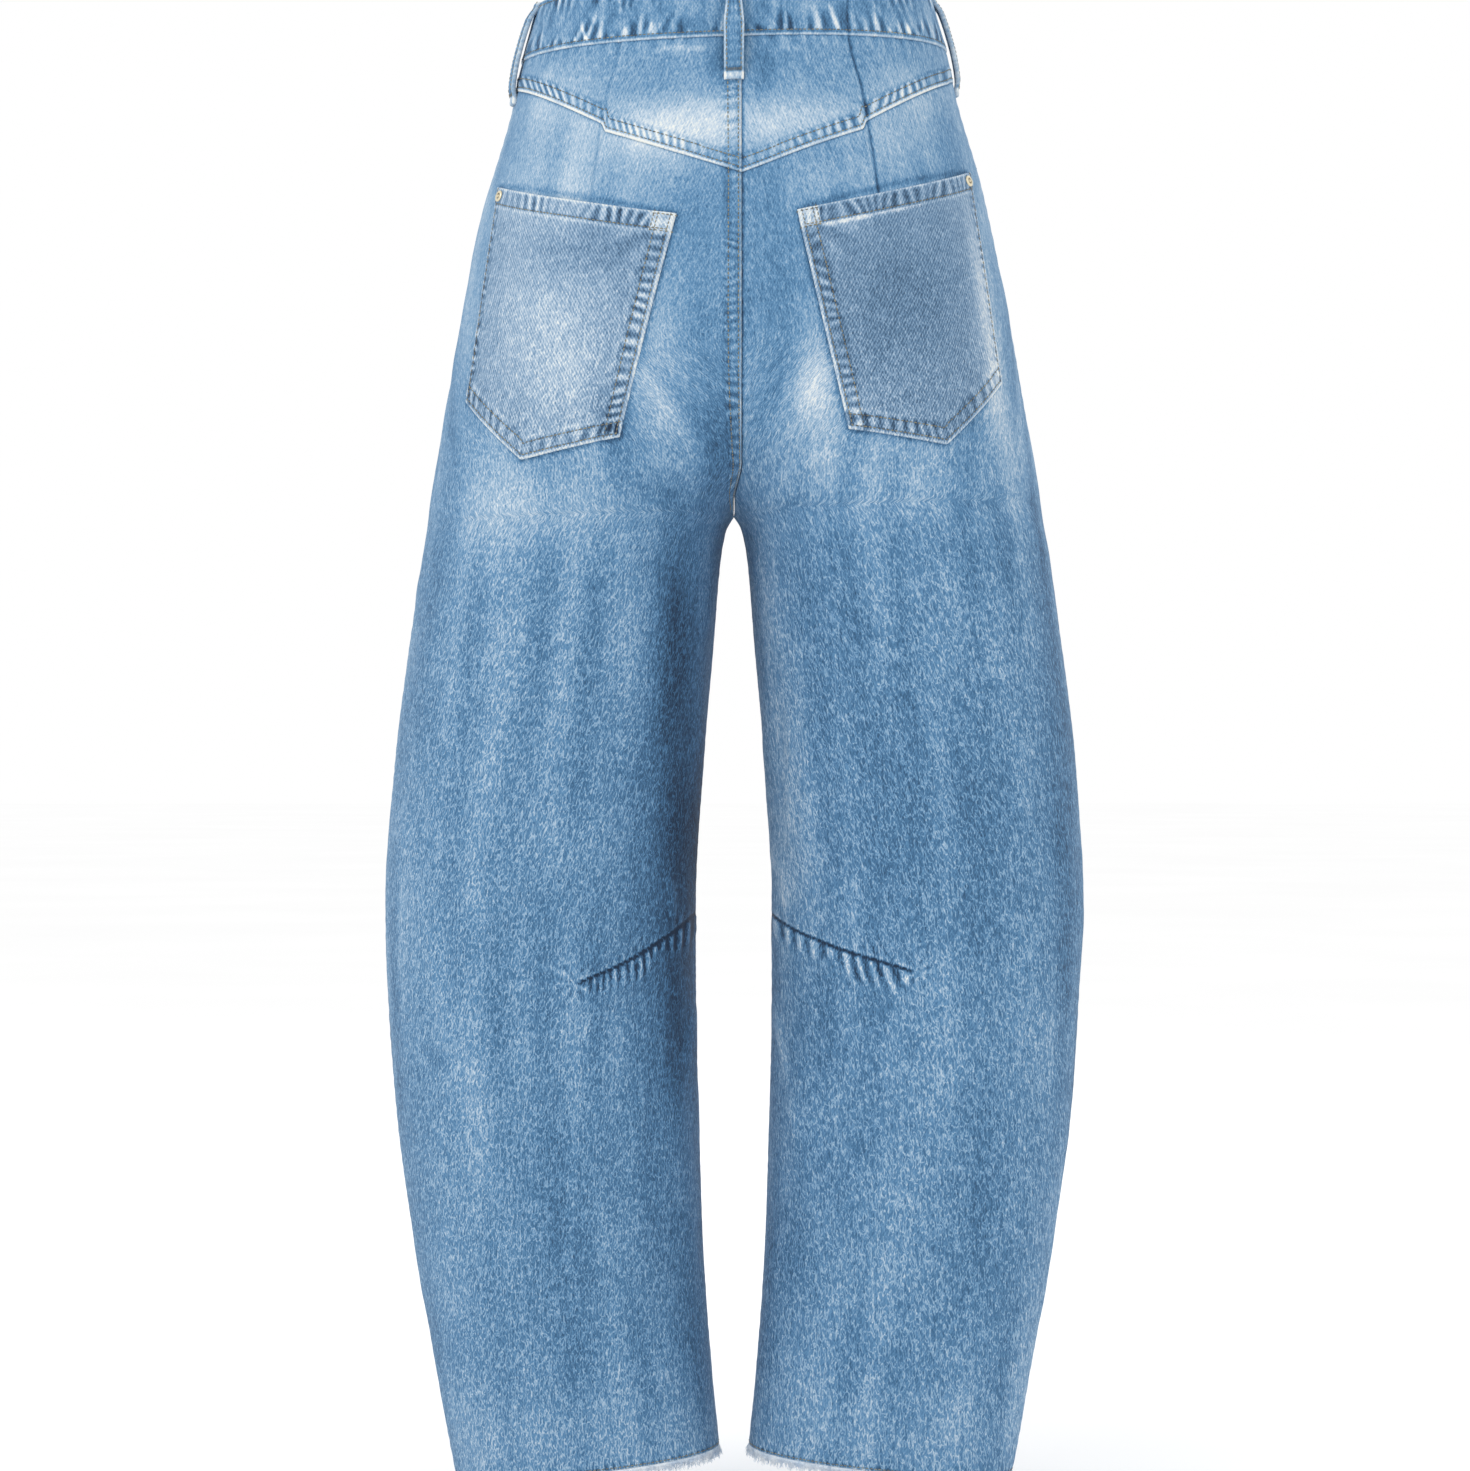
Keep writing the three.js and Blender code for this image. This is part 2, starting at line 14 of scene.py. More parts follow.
import bpy
import numpy as np
from bpy.types import ID, ColorRamp, Material, Mesh, Node, NodeSocket, NodeTree, Object
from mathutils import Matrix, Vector


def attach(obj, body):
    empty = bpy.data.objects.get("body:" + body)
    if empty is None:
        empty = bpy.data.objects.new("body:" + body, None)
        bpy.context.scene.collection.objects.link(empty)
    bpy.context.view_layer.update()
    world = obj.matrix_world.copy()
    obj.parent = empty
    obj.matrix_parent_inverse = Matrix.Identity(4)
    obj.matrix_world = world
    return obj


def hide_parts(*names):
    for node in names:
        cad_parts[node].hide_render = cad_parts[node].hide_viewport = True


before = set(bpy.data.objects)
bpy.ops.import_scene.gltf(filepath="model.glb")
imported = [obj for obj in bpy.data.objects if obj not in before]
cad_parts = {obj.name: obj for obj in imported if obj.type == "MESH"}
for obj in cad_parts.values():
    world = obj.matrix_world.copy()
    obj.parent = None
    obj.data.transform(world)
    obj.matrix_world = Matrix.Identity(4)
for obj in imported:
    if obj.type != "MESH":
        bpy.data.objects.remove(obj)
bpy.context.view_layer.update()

Array = np.ndarray
Adder = Callable[..., Node]
Sockets = Mapping[str, NodeSocket]
MM = 0.001
BODY = "root"
LOG = logging.getLogger("jeans")

# Driving dimensions
BAND_HEIGHT = 40.0
BAND_TOP = BAND_HEIGHT / 2
WAIST_SEAM = -BAND_HEIGHT / 2
CROTCH = -335.0
HEM_INNER = (10.0, -973.4)
HEM_OUTER = (191.5, -991.5)
FRAY_LENGTH = 5.6
SEAM_GAP = 0.05
ROUNDNESS = 2.2
EDGE_CROWDING = 2.8
EDGE_CROWDING_TOP = -200.0
DENIM = 1.5
YOKE_CLOTH = 1.8
BAND_CLOTH = 3.0
BAND_PROUD = 0.6
POCKET_CLOTH = 1.4
POCKET_LIFT = 0.45
LOOP_CLOTH = 2.4
LOOP_WIDTH = 13.0
FRAY_CLOTH = 0.8
FRAY_SUNK = 0.2
# Width of the centre-back fell, and distances of the stitch rows from the edges they follow
FELL_WIDTH = 10.8
FELL_ROWS = (2.1, 8.9)
FLY_ROWS = (2.2, 7.6)
STAY_STITCH = 1.5

# Horizontal sections of the left half: z, then the columns named here
SECTION_COLUMNS = ("outer", "axis", "inner", "back", "front", "level")
SECTIONS = (
    (24, 134.2, 0, -300, 91, 87, 0),
    (20, 135.2, 0, -300, 92, 88, 0),
    (-20, 146.1, 8, -292, 101, 95, 2),
    (-54, 153.5, 14, -286, 107, 99.5, 4),
    (-116, 170.8, 30, -270, 118, 103, 7),
    (-199, 187.7, 50, -200, 131, 104, 8),
    (-254, 197.5, 70, -114, 130, 103.5, 7),
    (-290, 203.4, 88, -54, 125.5, 103, 6),
    (-320, 208.4, 101, -13, 119, 102.5, 5),
    (-335, 210.6, 107, 0, 115.6, 102, 4),
    (-344, 212.1, 109.2, 5.2, 113.4, 101.7, 3.7),
    (-364, 215.5, 112.6, 9, 109.8, 101, 3),
    (-420, 224.4, 119, 13.8, 103, 98, 0),
    (-502, 234.6, 127.6, 20.7, 95, 93, -3),
    (-599, 240.8, 133.6, 26.3, 90, 88, -6),
    (-668, 238.4, 132.3, 26.2, 86, 85, -6),
    (-751, 231.8, 128, 24.2, 80, 80, -5),
    (-834, 220.1, 120.7, 21.4, 74, 75, -4),
    (-916, 206, 111, 15.9, 68, 69, -2),
    (-976, 195, 103, 10, 65, 65, 0),
    (-1000, 190, 99.5, 8, 64, 64, 0),
)

# How far a point drops for each millimetre towards the wearer's left, because the jeans hang askew
HANG = ((20, 0.028), (-120, 0.032), (-300, 0.036), (-650, 0.032), (-860, 0.012), (-1000, 0.004))

# Lower edge of the yoke: reach from the centre plane, z, and a tilt that lifts the left and drops the right
YOKE_SEAM = ((0, -113, 0), (86, -83, 1.9), (88, -77.6, 1.9), (145, -45, 2.1), (151, -40, 1))

# Front pocket mouth
MOUTH_GIRTH = 0.65
MOUTH_DEPTH = 72.0
FACING_UNDERLAP = 1.14
FACING_RECESS = 2.6
FACING_SLOPE = (0.5, 0.94)
BESIDE_OUTSEAM = 1e-6

# Left back pocket's corners: reach from the centre plane, and height
POCKET_CORNERS = {
    "top_outer": (158.5, -109.5),
    "top_inner": (39.7, -140.0),
    "bottom_outer": (178.5, -256.0),
    "tip": (140.6, -298.0),
    "bottom_inner": (75.5, -286.0),
}
POCKET_TIP_SHARE = 0.44

FELL_SHIFT = 5.0
FELL_FADE = 40.0
FELL_HEIGHT = (CROTCH + 8, CROTCH + 32)
FELL_DEPTH = (15.0, 55.0)

# Largest folds, the same as in the solids. For each side and face: the line's x0, z0, x1 and z1 on it,
# its width and its height
FOLDS = {
    (1, 1): (
        (160, -330, 163, -580, 16, 2.6), (166, -640, 203, -800, 15, 2.4), (42, -616, 106, -653, 9, -2.8),
        (46, -632, 104, -668, 10, 1.6), (40, -700, 36, -800, 9, 1.4),
    ),
    (-1, 1): (
        (44, -616, 122, -645, 9, -2.8), (48, -632, 120, -662, 10, 1.6), (52, -470, 44, -585, 10, 1.8),
        (205, -620, 207, -700, 14, 1.8), (44, -690, 48, -830, 10, 1.6),
    ),
    (1, -1): (
        (128, -360, 140, -560, 16, 2.2), (60, -600, 128, -628, 11, -2), (30, -300, 92, -262, 12, 1.8),
        (150, -690, 138, -850, 15, 1.8),
    ),
    (-1, -1): (
        (124, -380, 138, -560, 16, 2), (62, -604, 122, -634, 11, -2), (30, -302, 88, -268, 12, 1.8),
        (146, -700, 140, -840, 15, 1.6),
    ),
}

# Smaller creases: side, face, x0, z0, x1, z1, width, height, and how much paler the wash is on the crest
CREASES = (
    (1, 1, 43, -575, 42, -612, 2.6, 0.9, 0.35), (1, 1, 96, -655, 99, -704, 3, 0.7, 0.2),
    (1, 1, 28, -664, 31, -722, 3, 0.8, 0.3), (1, 1, 60, -700, 68, -790, 5, 0.9, 0.1),
    (1, 1, 118, -668, 128, -740, 5, 0.8, 0.1), (1, 1, 150, -820, 158, -900, 6, 0.8, 0.08),
    (1, 1, 24, -318, 62, -296, 5, 1.0, 0.12), (1, 1, 26, -330, 74, -322, 6, -1.0, -0.15),
    (1, 1, 30, -352, 82, -352, 6, 0.8, 0.08), (1, 1, 186, -420, 190, -520, 6, 0.9, 0.12),
    (1, 1, 206, -600, 196, -700, 6, 0.9, 0.1), (-1, 1, 37, -462, 38, -562, 4, 1.0, 0.18),
    (-1, 1, 27, -668, 38, -728, 2.8, 0.9, 0.5), (-1, 1, 25, -556, 38, -608, 3, 0.8, 0.4),
    (1, 1, 103, -656, 112, -880, 2.4, 0.6, 0.16), (-1, 1, 38, -728, 44, -770, 4, 0.8, 0.12),
    (-1, 1, 96, -668, 106, -736, 5, 0.8, 0.08), (-1, 1, 146, -700, 150, -800, 6, 0.8, 0.06),
    (-1, 1, 22, -322, 60, -300, 5, 1.0, 0.12), (-1, 1, 24, -338, 70, -330, 6, -1.0, -0.12),
    (-1, 1, 190, -470, 194, -560, 6, 0.9, 0.08), (1, 1, 16, -26.5, 56, -27.5, 2.2, 0.7, 0.45),
    (1, 1, 120, -30, 131, -44, 2.4, 0.6, 0.3), (-1, 1, 20, -28, 46, -30, 2.4, 0.5, 0.2),
    (1, -1, 26, -318, 72, -282, 4, 1.2, 0.3), (-1, -1, 26, -316, 70, -284, 4, 1.2, 0.3),
    (1, -1, 40, -268, 112, -226, 5, 1.0, 0.3), (-1, -1, 40, -270, 108, -230, 5, 1.0, 0.3),
    (1, -1, 56, -236, 120, -196, 5, 0.8, 0.22), (-1, -1, 54, -238, 118, -200, 5, 0.8, 0.22),
    (1, -1, 60, -586, 130, -604, 5, 0.9, 0.15), (-1, -1, 62, -590, 126, -610, 5, 0.9, 0.15),
    (1, -1, 70, -640, 150, -652, 6, 0.9, 0.12), (-1, -1, 66, -646, 146, -660, 6, 0.9, 0.12),
)

# Washed and worn areas of each side and face: x and z of the middle, reach across and down, turn in
# degrees, and how much paler. A negative paleness darkens; on the legs' inner sides and along their
# outer sides that darkening is painted shade
FADES = {
    (1, 1): (
        (34, -84, 50, 18, 0, 0.75), (58, -76, 34, 18, -10, 0.4), (14, -70, 20, 24, 0, 0.25),
        (118, -56, 28, 24, 0, 0.5), (110, -120, 36, 26, 0, 0.5), (30, -138, 40, 22, 0, -0.1),
        (14, -40, 8, 18, 0, -0.45), (52, -216, 14, 44, 0, 0.35), (44, -262, 14, 30, 0, 0.2),
        (26, -200, 10, 90, 0, -0.15), (77, -298, 10, 56, -12, -0.5), (112, -232, 38, 56, 0, 0.62),
        (140, -190, 26, 60, 0, 0.25), (90, -160, 40, 18, 0, -0.3), (118, -330, 52, 26, 0, 0.5),
        (164, -330, 20, 60, 0, 0.25), (156, -440, 10, 120, 0, 0.3), (112, -480, 14, 90, 0, 0.12),
        (182, -700, 12, 110, -13, 0.25), (200, -470, 14, 250, 4, -0.08), (14, -300, 12, 44, 0, -0.55),
        (38, -440, 16, 110, 0, -0.8), (32, -570, 19, 84, 0, -1.1), (70, -560, 26, 80, 0, -0.3),
        (34, -690, 14, 50, 0, -0.7), (60, -740, 30, 90, 0, -0.2), (32, -860, 16, 110, 0, -0.3),
        (110, -960, 110, 30, 0, 0.25),
    ),
    (-1, 1): (
        (40, -78, 46, 18, 0, 0.6), (16, -90, 22, 20, 0, 0.25), (116, -62, 24, 24, 0, 0.45),
        (60, -118, 26, 12, 12, 0.35), (112, -100, 20, 16, 0, 0.3), (16, -40, 9, 20, 0, -0.45),
        (54, -262, 14, 44, 6, 0.7), (60, -310, 16, 24, 0, 0.3), (24, -210, 14, 80, 0, -0.15),
        (110, -200, 44, 60, 0, -0.3), (84, -270, 20, 16, 0, 0.3), (168, -205, 8, 70, 8, 0.95),
        (182, -290, 12, 60, 8, 0.5), (130, -330, 50, 24, 0, 0.15), (222, -560, 14, 240, 4, -0.35),
        (14, -300, 12, 44, 0, -0.15), (34, -520, 18, 130, 0, 0.3), (110, -470, 40, 120, 0, -0.1),
        (70, -680, 50, 60, 0, -0.15), (30, -860, 12, 90, 0, -0.1), (110, -960, 110, 30, 0, 0.22),
    ),
    (1, -1): (
        (96, -330, 40, 130, 0, 0.6), (120, -610, 46, 60, 0, 0.35), (30, -120, 20, 60, 0, 0.15),
        (26, -420, 14, 110, 0, -0.25),
    ),
    (-1, -1): (
        (94, -334, 40, 130, 0, 0.6), (118, -614, 46, 60, 0, 0.35), (30, -120, 20, 60, 0, 0.15),
        (26, -420, 14, 110, 0, -0.25),
    ),
}

# Princess dart: reach from the centre plane at each height, through band, yoke and seat
PRINCESS = ((20, 75.5), (-20, 76.6), (-58.5, 85.8), (-80, 89.2), (-125.3, 95.1), (-134, 96))


@dataclass(frozen=True)
class KneeDart:
    """Dart on the back of a knee, from the inseam side to its tip, with puckers along it."""

    start: tuple[float, float]
    tip: tuple[float, float]
    pitch: float
    reach: float
    # Where along it the line bows down most, and how far the puckers slant outwards near the tip
    sag: float
    lean: float
    seed: int


KNEE_DARTS = {
    1: KneeDart((25.0, -606.0), (106.0, -648.0), 5.2, 16.0, 1.0, 0.1, 3),
    -1: KneeDart((26.0, -607.5), (122.0, -647.5), 9.3, 22.0, 0.65, 0.5, 8),
}

# Belt loops: `gap` is the clearance behind the strap at each height
LOOP_PROFILE = (
    (19.6, 0.95), (16.5, 1.1), (12.5, 3.4), (7.5, 6), (-4, 7.1), (-18, 7.3),
    (-31, 6.6), (-39.5, 5.2), (-44, 2.6), (-46.6, 0.8), (-50, 0.7),
)
# Turn of each loop round the waist
LOOPS = {"centre_back": 2.0, "side_left": 2.89, "side_right": 1.0, "front_left": 3.7, "front_right": 0.3}

BAND_UNDER_END = -0.072
BAND_OVER_END = 4.06
BAND_STEP = (0.068, 0.18)
BAND_LAP_GAP = 0.4

# Rows of a leg's fine grid: from z, to z and spacing below the crotch, then length and spacing of the
# runs above them and below them
ROW_RUNS = ((CROTCH, -362, 1.8), (-362, -592, 4.0), (-592, -690, 1.6), (-690, -950, 4.2))
SEAT_RUN = (250, 1.8)
HEM_RUN = (32, 1.4)

# Girth of a back leg's columns by their number, closest where the knee dart is sewn
BACK_COLUMNS = ((0, 0), (12, 0.056), (56, 0.44), (186, 0.93), (200, 1))

# Shares of the wash at which denim's shades stand, and the shades of its plain inside
SHADE_PLACES = (0.0, 0.17, 0.34, 0.5, 0.67, 0.84, 1.0)
REVERSE_SHADES = ((0.2, "#8296a6"), (0.5, "#a9b8c4"), (0.8, "#c9d2d8"))
# Ratio of Blender's wave scale to one over a wave's length
WAVE_SCALE = 0.314
# Most of its flat rectangle that a cut is said to fill, as a plain strap fills all of it
FULLEST_CUT = 0.999


def smooth(start: float | Array, end: float | Array, value: Array) -> Array:
    """Rise from 0 at start to 1 at end without a corner.

    Args:
        start: Where the rise begins.
        end: Where it ends; it may be below start.
        value: Where it is read.

    Returns:
        The share risen at each value.
    """
    t = np.clip((value - start) / (end - start), 0, 1)
    return t * t * (3 - 2 * t)


def bell(off: Array, width: float) -> Array:
    """Height of a bell of that half width at a distance off its middle."""
    return np.exp(-((off / width) ** 2))


def lattice(i: Array, j: Array, seed: int) -> Array:
    """Fixed pseudo-random value from -1 to 1 for each whole-numbered place."""
    n = (i.astype(np.int64) * 374761393 + j.astype(np.int64) * 668265263 + seed * 974634777) & 0xFFFFFFFF
    n = ((n ^ (n >> 13)) * 1274126177) & 0xFFFFFFFF
    return ((n ^ (n >> 16)) & 0xFFFF) / 32767.5 - 1


def mottle(u: Array, v: Array, size: float, seed: int) -> Array:
    """Smooth unevenness over a surface.

    Args:
        u: Place across, in millimetres.
        v: Place down, in millimetres.
        size: Spacing of its blotches.
        seed: Which pattern.

    Returns:
        Values from about -1 to 1.
    """
    a, b = u / size, v / size
    i, j = np.floor(a), np.floor(b)
    s, t = a - i, b - j
    s, t = s * s * (3 - 2 * s), t * t * (3 - 2 * t)
    low = lattice(i, j, seed) * (1 - s) + lattice(i + 1, j, seed) * s
    high = lattice(i, j + 1, seed) * (1 - s) + lattice(i + 1, j + 1, seed) * s
    return low * (1 - t) + high * t


def wander(s: Array, size: float, seed: int) -> Array:
    """Smooth unevenness along a line, from about -1 to 1."""
    return mottle(s, np.zeros_like(s), size, seed)


def ladder(s: Array, pitch: float, seed: int) -> Array:
    """Uneven puckers along a seam.

    Args:
        s: Place along the seam, in millimetres.
        pitch: Usual spacing of the puckers.
        seed: Which run of puckers.

    Returns:
        1 on a strong crest down to -1 in a strong trough.
    """
    phase = s / pitch + 0.5 * wander(s, 2.6 * pitch, seed)
    strength = 0.7 + 0.4 * wander(s, 1.6 * pitch, seed + 1)
    return np.cos(2 * math.pi * phase) * strength


def sharp(crest: Array) -> Array:
    """Narrow high crests with broad low ground between them."""
    return 1.6 * np.clip(crest, 0, 1.2) ** 1.5 - 0.35


class TableCurve:
    """Monotone cubic curve through a table's points."""

    def __init__(self, keys: Sequence[float], values: Sequence[float]) -> None:
        """Keeps the points in rising order and works out a tangent at each."""
        order = np.argsort(keys)
        self.xs = np.array(keys, float)[order]
        self.ys = np.array(values, float)[order]
        slopes = np.diff(self.ys) / np.diff(self.xs)
        before, after = slopes[:-1], slopes[1:]
        same_way = before * after > 0
        total = np.where(same_way, before + after, 1)
        self.tangents = np.concatenate(
            [slopes[:1], np.where(same_way, 2 * before * after / total, 0), slopes[-1:]]
        )

    def __call__(self, at: float | Array) -> Array:
        """Value of the curve at each place."""
        x = np.clip(at, self.xs[0], self.xs[-1])
        i = np.clip(np.searchsorted(self.xs, x, side="right") - 1, 0, len(self.xs) - 2)
        span = self.xs[i + 1] - self.xs[i]
        t = (x - self.xs[i]) / span
        rest = 1 - t
        return (
            self.ys[i] * rest * rest * (1 + 2 * t)
            + self.ys[i + 1] * t * t * (3 - 2 * t)
            + span * (self.tangents[i] * t * rest * rest - self.tangents[i + 1] * t * t * rest)
        )


def line_place(line: Sequence[float], x: Array, z: Array) -> tuple[Array, Array, float]:
    """Place beside a straight line.

    Args:
        line: Its two ends, x0, z0, x1, z1.
        x: Reach of each point.
        z: Height of each point.

    Returns:
        The share along the line, the distance off it (positive above a line that runs outwards), and
        its length.
    """
    x0, z0, x1, z1 = line
    length = math.hypot(x1 - x0, z1 - z0)
    ax, az = (x1 - x0) / length, (z1 - z0) / length
    dx, dz = x - x0, z - z0
    return (dx * ax + dz * az) / length, dz * ax - dx * az, length


class Skin:
    """Smooth outer form of the filled jeans, on which every piece lies."""

    def __init__(self) -> None:
        """Makes the curves of the tables."""
        heights, *columns = zip(*SECTIONS)
        self.section = {name: TableCurve(heights, row) for name, row in zip(SECTION_COLUMNS, columns)}
        self.slope, self.princess, self.loop_gap = (
            TableCurve(*zip(*rows)) for rows in (HANG, PRINCESS, LOOP_PROFILE)
        )

    def point(self, side: Array, girth: Array, z: Array) -> Array:
        """Points of the skin.

        Args:
            side: 1 for the wearer's left, -1 for the right.
            girth: 0 at the outseam, 1 at the centre back or inseam, -1 at the centre front or inseam.
            z: Height.

        Returns:
            The points, with a last axis of x, y and z.
        """
        axis = self.section["axis"](z)
        inner_half = axis - self.section["inner"](z)
        share = np.minimum(1, axis / inner_half)
        cut_off = np.arccos(share ** (ROUNDNESS / 2))
        crowding = 1 + (EDGE_CROWDING - 1) * smooth(EDGE_CROWDING_TOP, CROTCH, z)
        reach = np.abs(girth)
        angle = reach * math.pi - cut_off * reach**crowding
        cosine, sine = np.cos(angle), np.sin(angle)
        half = np.where(cosine >= 0, self.section["outer"](z) - axis, inner_half)
        level = self.section["level"](z)
        depth = np.where(girth >= 0, self.section["back"](z) - level, self.section["front"](z) + level)
        x = axis + half * np.sign(cosine) * np.abs(cosine) ** (2 / ROUNDNESS)
        y = level + np.sign(girth) * depth * np.abs(sine) ** (2 / ROUNDNESS)
        return np.stack(np.broadcast_arrays(side * x, y, z), axis=-1).astype(float)

    def excess(self, x: Array, y: Array, z: Array) -> Array:
        """How far a point of the left half is outside the skin, in the section's own units."""
        axis, level = self.section["axis"](z), self.section["level"](z)
        half = np.where(x >= axis, self.section["outer"](z) - axis, axis - self.section["inner"](z))
        depth = np.where(y >= level, self.section["back"](z) - level, self.section["front"](z) + level)
        return (np.abs(x - axis) / half) ** ROUNDNESS + (np.abs(y - level) / depth) ** ROUNDNESS

    def normal(self, side: Array, points: Array) -> Array:
        """Outward direction at points of the skin."""
        step = 0.05
        x, y, z = side * points[..., 0], points[..., 1], points[..., 2]
        gradient = np.stack(
            [
                side * (self.excess(x + step, y, z) - self.excess(x - step, y, z)),
                self.excess(x, y + step, z) - self.excess(x, y - step, z),
                self.excess(x, y, z + step) - self.excess(x, y, z - step),
            ],
            axis=-1,
        )
        return gradient / np.linalg.norm(gradient, axis=-1, keepdims=True)

    def folds(self, side: Array, girth: Array, points: Array) -> Array:
        """Height of the largest folds over the skin."""
        height = np.zeros(points.shape[:-1])
        face = np.where(girth >= 0, 1, -1)
        for (fold_side, fold_face), rows in FOLDS.items():
            here = (side == fold_side) & (face == fold_face)
            for *line, width, rise in rows:
                t, off, _ = line_place(line, side * points[..., 0], points[..., 2])
                ends = smooth(-0.05, 0.25, t) * smooth(1.05, 0.75, t)
                height += np.where(here, rise * ends * bell(off, width), 0)
        return height

    def girth_at_reach(self, reach: Array, z: Array) -> Array:
        """Girth at which the back of one half is that far from the centre plane."""
        low, high = np.zeros(np.broadcast(reach, z).shape), np.ones(np.broadcast(reach, z).shape)
        for _ in range(40):
            middle = (low + high) / 2
            beyond = self.point(1, middle, z)[..., 0] > reach
            low, high = np.where(beyond, middle, low), np.where(beyond, high, middle)
        return (low + high) / 2

    def shift_fell(self, points: Array) -> Array:
        """Moves the centre-back seam's free edge beside the centre."""
        near = bell(points[..., 0], FELL_FADE)
        height = smooth(*FELL_HEIGHT, points[..., 2])
        depth = smooth(*FELL_DEPTH, points[..., 1])
        moved = points.copy()
        moved[..., 0] -= FELL_SHIFT * near * height * depth
        return moved

    def hang(self, points: Array) -> Array:
        """Points as the jeans hang, a little askew."""
        moved = points.copy()
        moved[..., 2] -= self.slope(points[..., 2]) * points[..., 0]
        return moved


SKIN = Skin()


def stay_height(sign: int, girth: Array) -> Array:
    """Height of the hem's stay stitching round a leg."""
    (x0, z0), (x1, z1) = HEM_INNER, HEM_OUTER
    reach = np.abs(SKIN.point(sign, girth, z0 + 0 * girth)[..., 0])
    return z0 + (z1 - z0) * (reach - x0) / (x1 - x0)


def yoke_foot(side: int, girth: Array) -> Array:
    """Height of the yoke's lower edge, which steps up outside the princess dart."""
    reaches, heights, tilts = np.array(YOKE_SEAM, float).T
    z = np.interp(girth, (0, 1), (-39, -110))
    for _ in range(8):
        reach = SKIN.point(1, girth, z)[..., 0]
        z = np.interp(reach, reaches, heights + side * tilts)
    return z


def mouth_height(girth: Array) -> Array:
    """Height of the front leg's top edge, scooped at the pocket's mouth."""
    share = np.minimum(1, np.abs(girth) / MOUTH_GIRTH)
    return WAIST_SEAM - MOUTH_DEPTH * np.sqrt(1 - share * share)


def graded(length: float, fine: float, coarse: float, margin: float) -> Array:
    """Shares from 0 to 1, close together within the margin at both ends.

    Args:
        length: Real length of the run.
        fine: Spacing near the ends.
        coarse: Spacing in the middle.
        margin: How far the fine spacing reaches.

    Returns:
        The shares.
    """
    edge = np.linspace(0, margin, round(margin / fine) + 1)
    middle = np.linspace(margin, length - margin, round((length - 2 * margin) / coarse) + 1)
    return np.concatenate([edge[:-1], middle[:-1], length - edge[::-1]]) / length


def pull_in(points: Array, distance: float, ring: bool) -> Array:
    """Draws the rim of a grid of points in by a distance, as the seams' gaps are parted."""
    moved = points.copy()
    for rim, inner in ((0, 1), (-1, -2)):
        toward = points[inner] - points[rim]
        moved[rim] += toward * distance / np.linalg.norm(toward, axis=-1, keepdims=True)
        if not ring:
            toward = points[:, inner] - points[:, rim]
            moved[:, rim] += toward * distance / np.linalg.norm(toward, axis=-1, keepdims=True)
    return moved


def thinned(count: int, step: int) -> Array:
    """Every so many of a row's indices, with its last."""
    picked = list(range(0, count - 1, step))
    return np.array(picked + [count - 1])


def zip_rim(outer: Array, inner: Array, ends: Array) -> Array:
    """Triangles between a fine rim and a coarse one.

    Args:
        outer: Vertex numbers along the fine rim.
        inner: Vertex numbers along the coarse rim.
        ends: Which place of the fine rim each coarse vertex stands at.

    Returns:
        The triangles, all turned the same way.
    """
    triangles = []
    for k in range(len(inner) - 1):
        first, last = int(ends[k]), int(ends[k + 1])
        middle = (first + last) // 2
        triangles += [(outer[a], outer[a + 1], inner[k]) for a in range(first, middle)]
        triangles.append((inner[k], outer[middle], inner[k + 1]))
        triangles += [(outer[a], outer[a + 1], inner[k + 1]) for a in range(middle, last)]
    return np.array(triangles)


def lowest(relief: Array, reach: int) -> Array:
    """Deepest relief within a few cells of each place, never above 0."""
    deepest = np.minimum(relief, 0)
    for axis in (0, 1):
        padded = np.pad(deepest, [(reach, reach) if k == axis else (0, 0) for k in (0, 1)], mode="edge")
        count = deepest.shape[axis]
        shifted = [np.take(padded, range(k, k + count), axis=axis) for k in range(2 * reach + 1)]
        deepest = np.min(shifted, axis=0)
    return deepest


